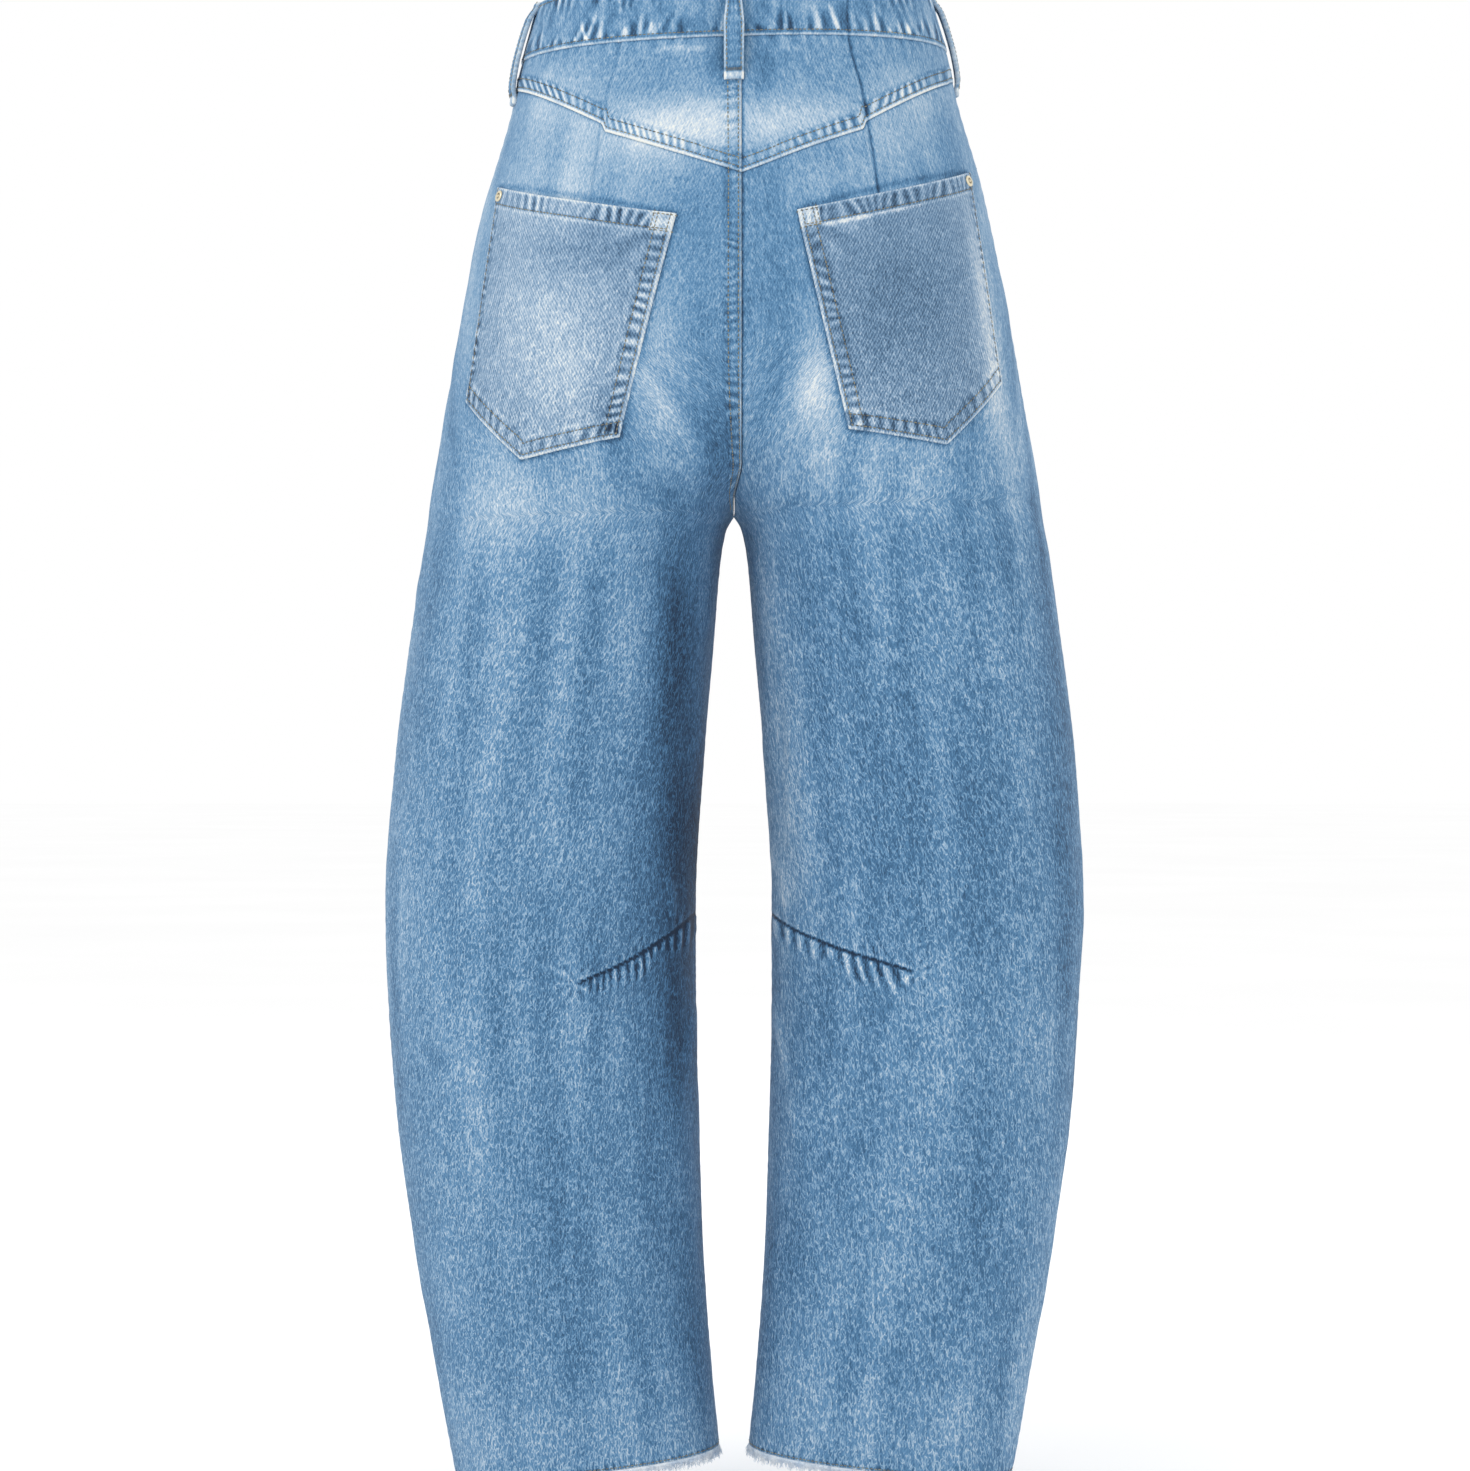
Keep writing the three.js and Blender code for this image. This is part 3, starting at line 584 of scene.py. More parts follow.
def cloth_mesh(name: str, outer: Array, inner: Array, step: int, ring: bool) -> tuple[Mesh, Array]:
    """Closed wall of cloth with a fine outside and a coarser inside.

    Args:
        name: The mesh's name.
        outer: Outside points, rows by columns by 3, in metres.
        inner: Inside points, as many.
        step: How many fine cells one inside cell spans.
        ring: Whether the columns close on themselves.

    Returns:
        The mesh, and the grid places (row, column) of the inside vertices.
    """
    rows, columns = outer.shape[:2]
    across = columns + 1 if ring else columns
    keep_r, keep_c = thinned(rows, step), thinned(across, step)
    if ring:
        keep_c = keep_c[:-1]
    number = np.arange(rows * columns).reshape(rows, columns)
    coarse = (np.arange(len(keep_r) * len(keep_c)) + rows * columns).reshape(len(keep_r), -1)
    wrap = (lambda grid: np.hstack([grid, grid[:, :1]])) if ring else (lambda grid: grid)
    number_w, coarse_w = wrap(number), wrap(coarse)

    def quads(grid: Array) -> Array:
        """Four-sided faces of a grid of vertex numbers."""
        return np.stack([grid[:-1, :-1], grid[1:, :-1], grid[1:, 1:], grid[:-1, 1:]], -1).reshape(-1, 4)

    fours = np.vstack([quads(number_w), quads(coarse_w)[:, ::-1]])
    ends_c = np.append(keep_c, columns) if ring else keep_c
    rims = [
        zip_rim(number_w[0], coarse_w[0], ends_c),
        zip_rim(number_w[-1], coarse_w[-1], ends_c)[:, ::-1],
    ]
    if not ring:
        rims.append(zip_rim(number[:, 0], coarse[:, 0], keep_r)[:, ::-1])
        rims.append(zip_rim(number[:, -1], coarse[:, -1], keep_r))
    threes = np.vstack(rims)
    points = np.vstack([outer.reshape(-1, 3), inner[np.ix_(keep_r, keep_c)].reshape(-1, 3)])
    split = np.vstack([fours[:, :3], fours[:, [0, 2, 3]], threes])
    a, b, c = (points[split[:, k]] for k in range(3))
    if np.sum(a * np.cross(b, c)) < 0:
        fours, threes = fours[:, ::-1], threes[:, ::-1]
    corners = np.concatenate([fours.ravel(), threes.ravel()])
    starts = np.concatenate([np.arange(len(fours)) * 4, 4 * len(fours) + np.arange(len(threes)) * 3])
    mesh = bpy.data.meshes.new(name)
    mesh.vertices.add(len(points))
    mesh.vertices.foreach_set("co", points.ravel())
    mesh.loops.add(len(corners))
    mesh.loops.foreach_set("vertex_index", corners.astype(np.int32))
    mesh.polygons.add(len(starts))
    mesh.polygons.foreach_set("loop_start", starts.astype(np.int32))
    mesh.update(calc_edges=True)
    mesh.validate()
    mesh.shade_smooth()
    return mesh, np.stack(np.meshgrid(keep_r, keep_c, indexing="ij"), -1).reshape(-1, 2)


class Patch:
    """Grid of places on the skin, rows from the top down and columns round the girth."""

    def __init__(
        self,
        side: Array | int,
        girth: Array,
        z: Array,
        felled: bool = False,
        ring: bool = False,
        parted: bool = True,
    ) -> None:
        """Places the grid on the skin.

        Args:
            side: 1 for the wearer's left, -1 for the right, or one value for each column.
            girth: Girth of each place.
            z: Height of each place.
            felled: Whether the piece takes the centre-back seam's shift.
            ring: Whether the columns close on themselves.
            parted: Whether the rim is drawn in by half a seam's gap.
        """
        self.girth, self.z = (np.array(v) for v in np.broadcast_arrays(girth, z))
        self.side = np.broadcast_to(side, self.girth.shape)
        self.felled, self.ring = felled, ring
        self.skin = SKIN.point(self.side, self.girth, self.z)
        self.normal = SKIN.normal(self.side, self.skin)
        self.fold = SKIN.folds(self.side, self.girth, self.skin)
        self.reach = self.side * self.skin[..., 0]
        if parted:
            self.skin = pull_in(self.skin, SEAM_GAP / 2, ring)
        across = np.linalg.norm(np.diff(self.skin, axis=1), axis=-1)
        down = np.linalg.norm(np.diff(self.skin, axis=0), axis=-1)
        self.from_first = np.pad(np.cumsum(across, axis=1), ((0, 0), (1, 0)))
        self.from_top = np.pad(np.cumsum(down, axis=0), ((1, 0), (0, 0)))
        self.from_last = self.from_first[:, -1:] - self.from_first
        self.from_foot = self.from_top[-1:] - self.from_top
        middle = self.from_first.shape[1] // 2
        self.u = self.from_first - self.from_first[:, middle : middle + 1]
        self.v = -self.z

    def surface(self, lift: Array) -> Array:
        """Points in metres at a lift above the folded skin."""
        points = self.skin + self.normal * (lift + self.fold)[..., None]
        if self.felled:
            points = SKIN.shift_fell(points)
        return SKIN.hang(points) * MM

    def level_off(self, off: Array, row: int) -> Array:
        """Distance down a column made square to the top edge (row 0) or the foot (row -1)."""
        slope = np.gradient(self.skin[row, :, 2]) / np.gradient(self.from_first[row])
        return off / np.hypot(1, slope)[None, :]

    def cut(self) -> tuple[float, float, float]:
        """Width, length and area of the flat cut, in metres."""
        width, length = self.from_first[:, -1].max() * MM, self.from_top[-1].max() * MM
        cells = np.diff(self.from_first, axis=1)[:-1] * np.diff(self.from_top, axis=0)[:, :-1]
        return width, length, float(min(cells.sum() * MM * MM, FULLEST_CUT * width * length))


@dataclass(frozen=True)
class SewnEdge:
    """Folded edge sewn down flat, with its rows of stitching and the puckers between them."""

    width: float
    rise: float
    rows: tuple[float, ...]
    pitch: float
    pucker: float
    seed: int
    wear: float = 0.9
    contrast: float = 0.5
    spread: float = 2.0

    def press(self, cloth: "Cloth", off: Array, along: Array, share: Array | float = 1.0) -> None:
        """Shapes and wears the cloth along the edge, and paints a shadow just beyond its raised folded strip.

        Args:
            cloth: The piece that carries it.
            off: Distance from the folded edge at each place.
            along: Distance along the edge at each place.
            share: How much of it is there, from 0 to 1.
        """
        strip = smooth(self.width + 0.9, self.width - 0.7, off)
        cloth.relief += share * (self.rise * strip - 0.45 * bell(off, 0.6))
        crest = ladder(along + 0.5 * off * wander(along, 20, self.seed + 5), self.pitch, self.seed)
        low = self.rows[0] if len(self.rows) > 1 else 1.4
        window = smooth(low - 1.6, low + 1.4, off) * smooth(self.width + self.spread, self.width - 1, off)
        cloth.relief += share * self.pucker * crest * window
        patchy = 0.8 + 0.45 * wander(along, 34, self.seed + 9)
        cloth.tone += share * window * self.contrast * patchy * (crest - 0.12)
        worn = 0.85 + 0.3 * wander(along, 9, self.seed + 7)
        cloth.tone += share * self.wear * bell(off - 0.6, 1.0) * worn
        # Painted shadow on the flat cloth just beyond the raised folded strip
        cloth.tone -= share * 0.3 * bell(off - self.width - 1.3, 1.1)
        for row in self.rows:
            cloth.relief -= share * 0.26 * bell(off - row, 0.75)
            cloth.tone -= share * 0.5 * bell(off - row, 0.7)


class Cloth:
    """One sewn piece: a fine grid with its relief over the folded skin, and the tone of its washed denim with
    some painted shade.
    """

    def __init__(self, name: str, patch: Patch, thickness: float, lift: float = 0.0, step: int = 4) -> None:
        """Starts the piece flat and evenly washed.

        Args:
            name: Name of the finished piece.
            patch: Its places on the skin.
            thickness: Thickness of the cloth.
            lift: Height of its outside over the skin.
            step: How many fine cells one cell of the inside spans.
        """
        self.name, self.patch, self.thickness, self.step = name, patch, thickness, step
        self.lift = np.zeros_like(patch.z) + lift
        self.relief = np.zeros_like(patch.z)
        self.tone = np.zeros_like(patch.z)

    @property
    def outer(self) -> Array:
        """Outside of the cloth in metres, as it is shaped so far."""
        return self.patch.surface(self.lift + self.relief)

    def rumple(self, amount: float, size: float, seed: int) -> None:
        """Makes the cloth a little uneven, less so beside its rim."""
        p = self.patch
        rim = np.minimum(np.minimum(p.from_first, p.from_last), np.minimum(p.from_top, p.from_foot))
        calm = smooth(0, 14, rim)
        self.relief += amount * calm * mottle(p.u, p.v, size, seed)
        self.relief += 0.4 * amount * calm * mottle(p.u, p.v, size * 0.4, seed + 1)

    def mark(self, pattern: Array, relief: float, tone: float) -> None:
        """Raises and pales the cloth together by shares of a pattern."""
        self.relief += relief * pattern
        self.tone += tone * pattern

    def wash(self) -> None:
        """Adds the washed areas, the painted shade on the legs' inner and outer sides, and the smaller
        creases listed for this side and face.
        """
        patch = self.patch
        face = np.where(patch.girth >= 0, 1, -1)
        self.tone += 0.15 * smooth(-370, -290, patch.z)
        # Washed areas are paler; where an area's paleness is negative on the legs' inner and outer sides it
        # is painted shade
        for (side, f), areas in FADES.items():
            here = (patch.side == side) & (face == f)
            for x, z, across, down, turn, tone in areas:
                dx, dz = patch.reach - x, patch.z - z
                c, s = math.cos(math.radians(turn)), math.sin(math.radians(turn))
                near = bell((dx * c + dz * s) / across, 1) * bell((dz * c - dx * s) / down, 1)
                self.tone += np.where(here, tone * near, 0)
        for k, (side, f, *line, width, height, tone) in enumerate(CREASES):
            t, off, length = line_place(line, patch.reach, patch.z)
            off = off + 0.5 * width * wander(t * length, 14, 60 + k)
            shape = smooth(-0.06, 0.3, t) * smooth(1.06, 0.7, t) * bell(off, width)
            self.mark(np.where((patch.side == side) & (face == f), shape, 0), height, tone)

    def groove(self, off: Array, depth: float, width: float, tone: float, share: Array | float = 1.0) -> None:
        """Sinks a line into the cloth and darkens or pales it."""
        self.relief -= share * depth * bell(off, width)
        self.tone += share * tone * bell(off, 0.8 * width)

    def build(self) -> Object:
        """Makes the piece's object, its tone of washed denim and painted shade kept in attributes of the
        mesh.
        """
        inside = self.patch.surface(self.lift + lowest(self.relief, self.step) - self.thickness)
        mesh, places = cloth_mesh(self.name, self.outer, inside, self.step, self.patch.ring)
        rows, columns = places.T
        flat = {
            "tone": (self.tone.ravel(), self.tone[rows, columns] * 0.3),
            "reverse": (np.zeros(self.tone.size), np.ones(len(places))),
        }
        for label, parts in flat.items():
            values = np.concatenate(parts).astype(np.float32)
            mesh.attributes.new(label, "FLOAT", "POINT").data.foreach_set("value", values)
        number = sum(ord(letter) for letter in self.name) % 97
        weave = np.stack([self.patch.u, self.patch.v, np.full_like(self.patch.u, 7.3 * number)], -1)
        weave = np.vstack([weave.reshape(-1, 3), weave[rows, columns]]).astype(np.float32)
        mesh.attributes.new("weave", "FLOAT_VECTOR", "POINT").data.foreach_set("vector", weave.ravel())
        return placed(self.name, mesh)

    def contour(self, off: Array, value: float, rows: Array | None = None, along: str = "down") -> Array:
        """Line where a distance reaches a value.

        Args:
            off: The distance at each place, rising or falling across a row (or down a column).
            value: The distance that is looked for.
            rows: Which rows (or columns) the line crosses; all where it is left out.
            along: "down" for a line from row to row, "across" for one from column to column.

        Returns:
            The line's points in metres.
        """
        down = along == "down"
        d, p = (off, self.outer) if down else (off.T, self.outer.transpose(1, 0, 2))
        if rows is not None:
            d, p = d[rows], p[rows]
        if d[0, 0] > d[0, -1]:
            d, p = d[:, ::-1], p[:, ::-1]
        k = np.clip((d < value).sum(axis=1) - 1, 0, d.shape[1] - 2)
        i = np.arange(len(d))
        t = np.clip((value - d[i, k]) / (d[i, k + 1] - d[i, k]), 0, 1)[:, None]
        return p[i, k] * (1 - t) + p[i, k + 1] * t

    def on_cloth(self, girth: Array, z: Array) -> Array:
        """Points in metres on the finished piece at free places of the skin."""
        p = self.patch
        side = p.side[0, 0]
        skin = SKIN.point(side, girth, z)
        flat = (self.lift + self.relief).ravel()
        grid = p.skin.reshape(-1, 3)
        nearest = [int(np.argmin(np.sum((grid - point) ** 2, axis=1))) for point in skin]
        lift = flat[nearest] + SKIN.folds(side, girth, skin)
        points = skin + SKIN.normal(side, skin) * lift[..., None]
        return SKIN.hang(SKIN.shift_fell(points) if p.felled else points) * MM


def trimmed(line: Array, start: float, end: float) -> Array:
    """A line without its first and last stretches, given in millimetres."""
    length = np.concatenate([[0], np.cumsum(np.linalg.norm(np.diff(line, axis=0), axis=1))]) / MM
    return line[(length >= start) & (length <= length[-1] - end)]


def linear(code: str) -> tuple[float, float, float, float]:
    """A colour written as an sRGB hex value, in linear light."""
    values = [int(code[i : i + 2], 16) / 255 for i in (1, 3, 5)]
    r, g, b = (v / 12.92 if v <= 0.04045 else ((v + 0.055) / 1.055) ** 2.4 for v in values)
    return r, g, b, 1.0


def set_stops(ramp: ColorRamp, stops: Iterable[tuple[float, str]]) -> None:
    """Gives a colour ramp its places and sRGB hex colours."""
    for k, (place, code) in enumerate(stops):
        element = ramp.elements[k] if k < 2 else ramp.elements.new(place)
        element.position, element.color = place, linear(code)


def add_node(tree: NodeTree, kind: str, feeds: dict | None = None, **settings: object) -> Node:
    """Adds a node to a tree.

    Args:
        tree: The tree it goes in.
        kind: Blender's name for the node's kind.
        feeds: What feeds each input, by its name or number: a node's first output, a socket or a value.
        settings: The node's own settings, with `stops` for the colours of a ramp.

    Returns:
        The node.
    """
    node = tree.nodes.new(kind)
    for label, value in settings.items():
        if label == "stops":
            set_stops(node.color_ramp, value)
        else:
            setattr(node, label, value)
    for place, source in (feeds or {}).items():
        if isinstance(source, Node):
            source = source.outputs[0]
        if isinstance(source, NodeSocket):
            tree.links.new(source, node.inputs[place])
        else:
            node.inputs[place].default_value = source
    return node


def new_material(name: str) -> tuple[Material, Adder]:
    """An empty node material, and what adds a node to it."""
    material = bpy.data.materials.new(name)
    material.use_nodes = True
    material.node_tree.nodes.clear()
    return material, partial(add_node, material.node_tree)


@dataclass(frozen=True)
class DenimFinish:
    """Stone-washed cotton twill: an indigo warp worn down to its white core over a white weft."""

    name: str
    slub: float = 1.25
    grain: float = 1.25
    cloud: float = 0.45
    twill: float = 0.16
    strokes: float = 0.85
    shades: str = "#1c2e44 #2f4c69 #426b8f #5e89ae #91adc5 #bfcdd9 #e4e6e1"

    def material(self) -> Material:
        """Builds the material, which reads the cloth's weave, tone and reverse attributes."""
        material, add = new_material(self.name)
        weave = add("ShaderNodeAttribute", attribute_name="weave").outputs["Vector"]
        total = add("ShaderNodeAttribute", attribute_name="tone").outputs["Fac"]
        reverse = add("ShaderNodeAttribute", attribute_name="reverse").outputs["Fac"]
        # Width and length in millimetres, and turn in degrees, of each pattern in the weave
        patterns = {
            "slub": (1.0, 9.0, 4.0), "grain": (1.2, 2.8, 14.0), "nap": (0.9, 1.1, -33.0),
            "cloud": (26.0, 44.0, 0.0), "strokes": (1.9, 6.6, 13.0), "ribs": (1.0, 1.0, -33.0),
        }
        place = {}
        for label, (width, length, turn) in patterns.items():
            feeds = {"Vector": weave, "Rotation": (0, 0, math.radians(turn)), "Scale": (width, length, 1)}
            place[label] = add("ShaderNodeMapping", feeds, vector_type="TEXTURE")
        # Detail and strength of each unevenness
        layers = {
            "slub": (3.0, self.slub), "grain": (2.0, self.grain), "nap": (1.0, 0.4 * self.grain),
            "cloud": (3.0, self.cloud),
        }
        noise = {}
        for label, (detail, strength) in layers.items():
            feeds = {"Vector": place[label], "Scale": 1.0, "Detail": detail, "Roughness": 0.6}
            noise[label] = add("ShaderNodeTexNoise", feeds)
            feeds = {0: noise[label], 1: strength, 2: -strength / 2}
            uneven = add("ShaderNodeMath", feeds, operation="MULTIPLY_ADD")
            total = add("ShaderNodeMath", {0: total, 1: uneven}, operation="ADD")
        # Short crooked strokes where the warp's white core shows
        feeds = {"Vector": place["strokes"], "Scale": 1.0, "Detail": 1.5, "Distortion": 0.5}
        off = add("ShaderNodeMath", {0: add("ShaderNodeTexNoise", feeds), 1: 0.5}, operation="SUBTRACT")
        near = add("ShaderNodeMath", {0: off}, operation="ABSOLUTE")
        feeds = {"Value": near, "From Min": 0.0, "From Max": 0.07, "To Min": 0.6, "To Max": -0.4}
        stroke = add("ShaderNodeMapRange", feeds)
        # The wash leaves the seat smoother than the legs
        down = add("ShaderNodeSeparateXYZ", {0: weave}).outputs["Y"]
        feeds = {"Value": down, "From Min": 140, "From Max": 420, "To Min": 0.35 * self.strokes}
        amount = add("ShaderNodeMapRange", {**feeds, "To Max": self.strokes})
        total = add("ShaderNodeMath", {0: stroke, 1: amount, 2: total}, operation="MULTIPLY_ADD")
        # Diagonal ribs of the twill, drawn at 1.9 mm because the real 0.8 mm is too fine to show
        feeds = {"Vector": place["ribs"], "Scale": WAVE_SCALE / 1.9, "Distortion": 0.8, "Detail": 1.0}
        wave = add("ShaderNodeTexWave", {**feeds, "Detail Scale": 0.6}).outputs["Fac"]
        ribs = add("ShaderNodeMath", {0: wave, 1: self.twill, 2: -self.twill / 2}, operation="MULTIPLY_ADD")
        total = add("ShaderNodeMath", {0: total, 1: ribs}, operation="ADD")
        share = add("ShaderNodeMapRange", {"Value": total, "From Min": -1.5, "From Max": 1.5})
        face = add("ShaderNodeValToRGB", {"Fac": share}, stops=zip(SHADE_PLACES, self.shades.split()))
        inside = add("ShaderNodeValToRGB", {"Fac": share}, stops=REVERSE_SHADES)
        mix = add("ShaderNodeMix", {0: reverse, 6: face, 7: inside}, data_type="RGBA").outputs[2]
        feeds = {0: noise["grain"], 1: 0.7, 2: noise["slub"]}
        height = add("ShaderNodeMath", feeds, operation="MULTIPLY_ADD")
        height = add("ShaderNodeMath", {0: wave, 1: 0.25, 2: height}, operation="MULTIPLY_ADD")
        bump = add("ShaderNodeBump", {"Height": height, "Strength": 0.8, "Distance": 0.5 * MM})
        look = {"Base Color": mix, "Roughness": 0.92, "Sheen Weight": 0.08, "Sheen Roughness": 0.5}
        shader = add("ShaderNodeBsdfPrincipled", {**look, "Specular IOR Level": 0.25, "Normal": bump})
        add("ShaderNodeOutputMaterial", {"Surface": shader})
        return material


@dataclass(frozen=True)
class CottonFinish:
    """Bare cotton yarn: matt, slightly fuzzy, paler where single fibres stand out."""

    name: str
    dark: str
    pale: str
    grit: float = 0.9

    def material(self) -> Material:
        """Builds the material on object coordinates."""
        material, add = new_material(self.name)
        place = add("ShaderNodeTexCoord").outputs["Object"]
        noise = add("ShaderNodeTexNoise", {"Vector": place, "Scale": 1 / (self.grit * MM), "Detail": 2.0})
        broad = add("ShaderNodeTexNoise", {"Vector": place, "Scale": 1 / (9 * MM), "Detail": 1.0})
        both = add("ShaderNodeMath", {0: noise, 1: 0.6, 2: broad}, operation="MULTIPLY_ADD")
        colour = add("ShaderNodeValToRGB", {"Fac": both}, stops=((0.55, self.dark), (1.05, self.pale)))
        bump = add("ShaderNodeBump", {"Height": noise, "Strength": 0.5, "Distance": 0.15 * MM})
        look = {"Base Color": colour, "Roughness": 0.9, "Specular IOR Level": 0.2, "Normal": bump}
        add("ShaderNodeOutputMaterial", {"Surface": add("ShaderNodeBsdfPrincipled", look)})
        return material


@dataclass(frozen=True)
class MetalFinish:
    """Stamped brass, tumbled with the jeans until its high places are bright and its hollows dull."""

    name: str = "tumbled_brass"
    dull: str = "#6f6450"
    bright: str = "#e3d9bd"

    def material(self) -> Material:
        """Builds the material on object coordinates and the mesh's own worn attribute."""
        material, add = new_material(self.name)
        place = add("ShaderNodeTexCoord").outputs["Object"]
        noise = add("ShaderNodeTexNoise", {"Vector": place, "Scale": 1 / (1.2 * MM), "Detail": 3.0})
        worn = add("ShaderNodeAttribute", attribute_name="worn").outputs["Fac"]
        both = add("ShaderNodeMath", {0: noise, 1: 0.5, 2: worn}, operation="MULTIPLY_ADD")
        colour = add("ShaderNodeValToRGB", {"Fac": both}, stops=((0.25, self.dull), (0.95, self.bright)))
        feeds = {"Value": both, "From Min": 0.2, "From Max": 1.1, "To Min": 0.62, "To Max": 0.3}
        rough = add("ShaderNodeMapRange", feeds)
        bump = add("ShaderNodeBump", {"Height": noise, "Strength": 0.25, "Distance": 0.1 * MM})
        look = {"Base Color": colour, "Metallic": 0.9, "Roughness": rough, "Normal": bump}
        add("ShaderNodeOutputMaterial", {"Surface": add("ShaderNodeBsdfPrincipled", look)})
        return material


DENIMS = {
    "denim_panel": DenimFinish("stone_washed_denim"),
    "denim_band": DenimFinish("waistband_denim", slub=1.0),
    "denim_pocket": DenimFinish(
        "pocket_denim", 0.9, 1.4, twill=0.5, strokes=1.2,
        shades="#223246 #354d65 #4e6c89 #6b8aa8 #93abc2 #bccad6 #e0e4e1",
    ),
}


class Side(Enum):
    """The wearer's side a piece is on."""

    LEFT = 1
    RIGHT = -1


@dataclass
class SidePiece:
    """A piece of one side of the jeans."""

    side: Side

    @property
    def sign(self) -> int:
        """1 on the wearer's left, -1 on the right."""
        return self.side.value

    @property
    def word(self) -> str:
        """The side's word in the names of pieces."""
        return self.side.name.lower()

    @property
    def left(self) -> bool:
        """Whether it is on the wearer's left."""
        return self.side is Side.LEFT


def make_tree(name: str, sizes: Iterable[str]) -> tuple[NodeTree, Adder, Sockets]:
    """A geometry tree with its inputs declared.

    Args:
        name: The tree's name.
        sizes: Names of its inputs for sizes, before those for a seed and a material.

    Returns:
        The tree, what adds a node to it, and its inputs' sockets.
    """
    tree = bpy.data.node_groups.new(name, "GeometryNodeTree")
    kinds = [("Geometry", "Geometry"), *((label, "Float") for label in sizes)]
    for label, kind in (*kinds, ("Seed", "Int"), ("Material", "Material")):
        tree.interface.new_socket(label, in_out="INPUT", socket_type=f"NodeSocket{kind}")
    tree.interface.new_socket("Geometry", in_out="OUTPUT", socket_type="NodeSocketGeometry")
    add = partial(add_node, tree)
    return tree, add, add("NodeGroupInput").outputs


def end_tree(add: Adder, geometry: Node, given: Sockets) -> None:
    """Ends a geometry tree with real meshes in the given material."""
    real = add("GeometryNodeRealizeInstances", {"Geometry": geometry})
    soft = add("GeometryNodeSetShadeSmooth", {"Geometry": real})
    made = add("GeometryNodeSetMaterial", {"Geometry": soft, "Material": given["Material"]})
    add("NodeGroupOutput", {"Geometry": made})


def stitch_tree() -> NodeTree:
    """Tree that sets one thread stitch after another along each line."""
    tree, add, given = make_tree("stitches", ("Pitch", "Length", "Thickness"))
    line = add("GeometryNodeMeshToCurve", {0: given["Geometry"]})
    spaced = add("GeometryNodeResampleCurve", {0: line, "Length": given["Pitch"]}, mode="LENGTH")
    thread = add("GeometryNodeMeshUVSphere", {"Segments": 6, "Rings": 4, "Radius": 0.5})
    thick = given["Thickness"]
    size = add("ShaderNodeCombineXYZ", {0: thick, 1: thick, 2: given["Length"]})
    spread = {0: (0.85, 0.85, 0.86), 1: (1.15, 1.15, 1.06), "Seed": given["Seed"]}
    jitter = add("FunctionNodeRandomValue", spread, data_type="FLOAT_VECTOR")
    scale = add("ShaderNodeVectorMath", {0: size, 1: jitter}, operation="MULTIPLY")
    tangent = add("GeometryNodeInputTangent")
    turn = add("FunctionNodeAlignRotationToVector", {"Vector": tangent}, axis="Z")
    feeds = {"Points": spaced, "Instance": thread, "Rotation": turn, "Scale": scale}
    end_tree(add, add("GeometryNodeInstanceOnPoints", feeds), given)
    return tree


def fray_tree() -> NodeTree:
    """Tree that hangs loose thread ends, tilted and curled a little, along each line."""
    tree, add, given = make_tree("thread_ends", ("Pitch", "Length", "Radius", "Tilt", "Curl"))
    line = add("GeometryNodeMeshToCurve", {0: given["Geometry"]})
    spaced = add("GeometryNodeResampleCurve", {0: line, "Length": given["Pitch"]}, mode="LENGTH")
    straight = add("GeometryNodeCurvePrimitiveLine", {"Start": (0, 0, 0), "End": (0, 0, -1)})
    jointed = add("GeometryNodeResampleCurve", {0: straight, "Count": 5}, mode="COUNT")
    spread = {0: (-1, -1, 0), 1: (1, 1, 6.28), "Seed": given["Seed"]}
    spin = add("FunctionNodeRandomValue", spread, data_type="FLOAT_VECTOR")
    tilts = add("ShaderNodeCombineXYZ", {0: given["Tilt"], 1: given["Tilt"], 2: 1.0})
    tilted = add("ShaderNodeVectorMath", {0: spin, 1: tilts}, operation="MULTIPLY")
    turn = add("FunctionNodeEulerToRotation", {0: tilted})
    spread = {2: 0.4, 3: 1.0, "Seed": given["Seed"]}
    share = add("FunctionNodeRandomValue", spread, data_type="FLOAT").outputs[1]
    length = add("ShaderNodeMath", {0: share, 1: given["Length"]}, operation="MULTIPLY")
    feeds = {"Points": spaced, "Instance": jointed, "Rotation": turn, "Scale": length}
    real = add("GeometryNodeRealizeInstances", {"Geometry": add("GeometryNodeInstanceOnPoints", feeds)})
    colours = add("ShaderNodeTexNoise", {"Scale": 260.0, "Detail": 1.0}).outputs["Color"]
    centred = add("ShaderNodeVectorMath", {0: colours, 1: (0.5, 0.5, 0.5)}, operation="SUBTRACT")
    along = add("GeometryNodeSplineParameter")
    bend = add("ShaderNodeMath", {0: along, 1: given["Curl"]}, operation="MULTIPLY")
    offset = add("ShaderNodeVectorMath", {0: centred, "Scale": bend}, operation="SCALE")
    curled = add("GeometryNodeSetPosition", {"Geometry": real, "Offset": offset})
    ring = add("GeometryNodeCurvePrimitiveCircle", {"Resolution": 3, "Radius": given["Radius"]})
    end_tree(add, add("GeometryNodeCurveToMesh", {"Curve": curled, "Profile Curve": ring}), given)
    return tree


def placed(name: str, data: ID) -> Object:
    """A new object in the scene."""
    made = bpy.data.objects.new(name, data)
    bpy.context.scene.collection.objects.link(made)
    return made


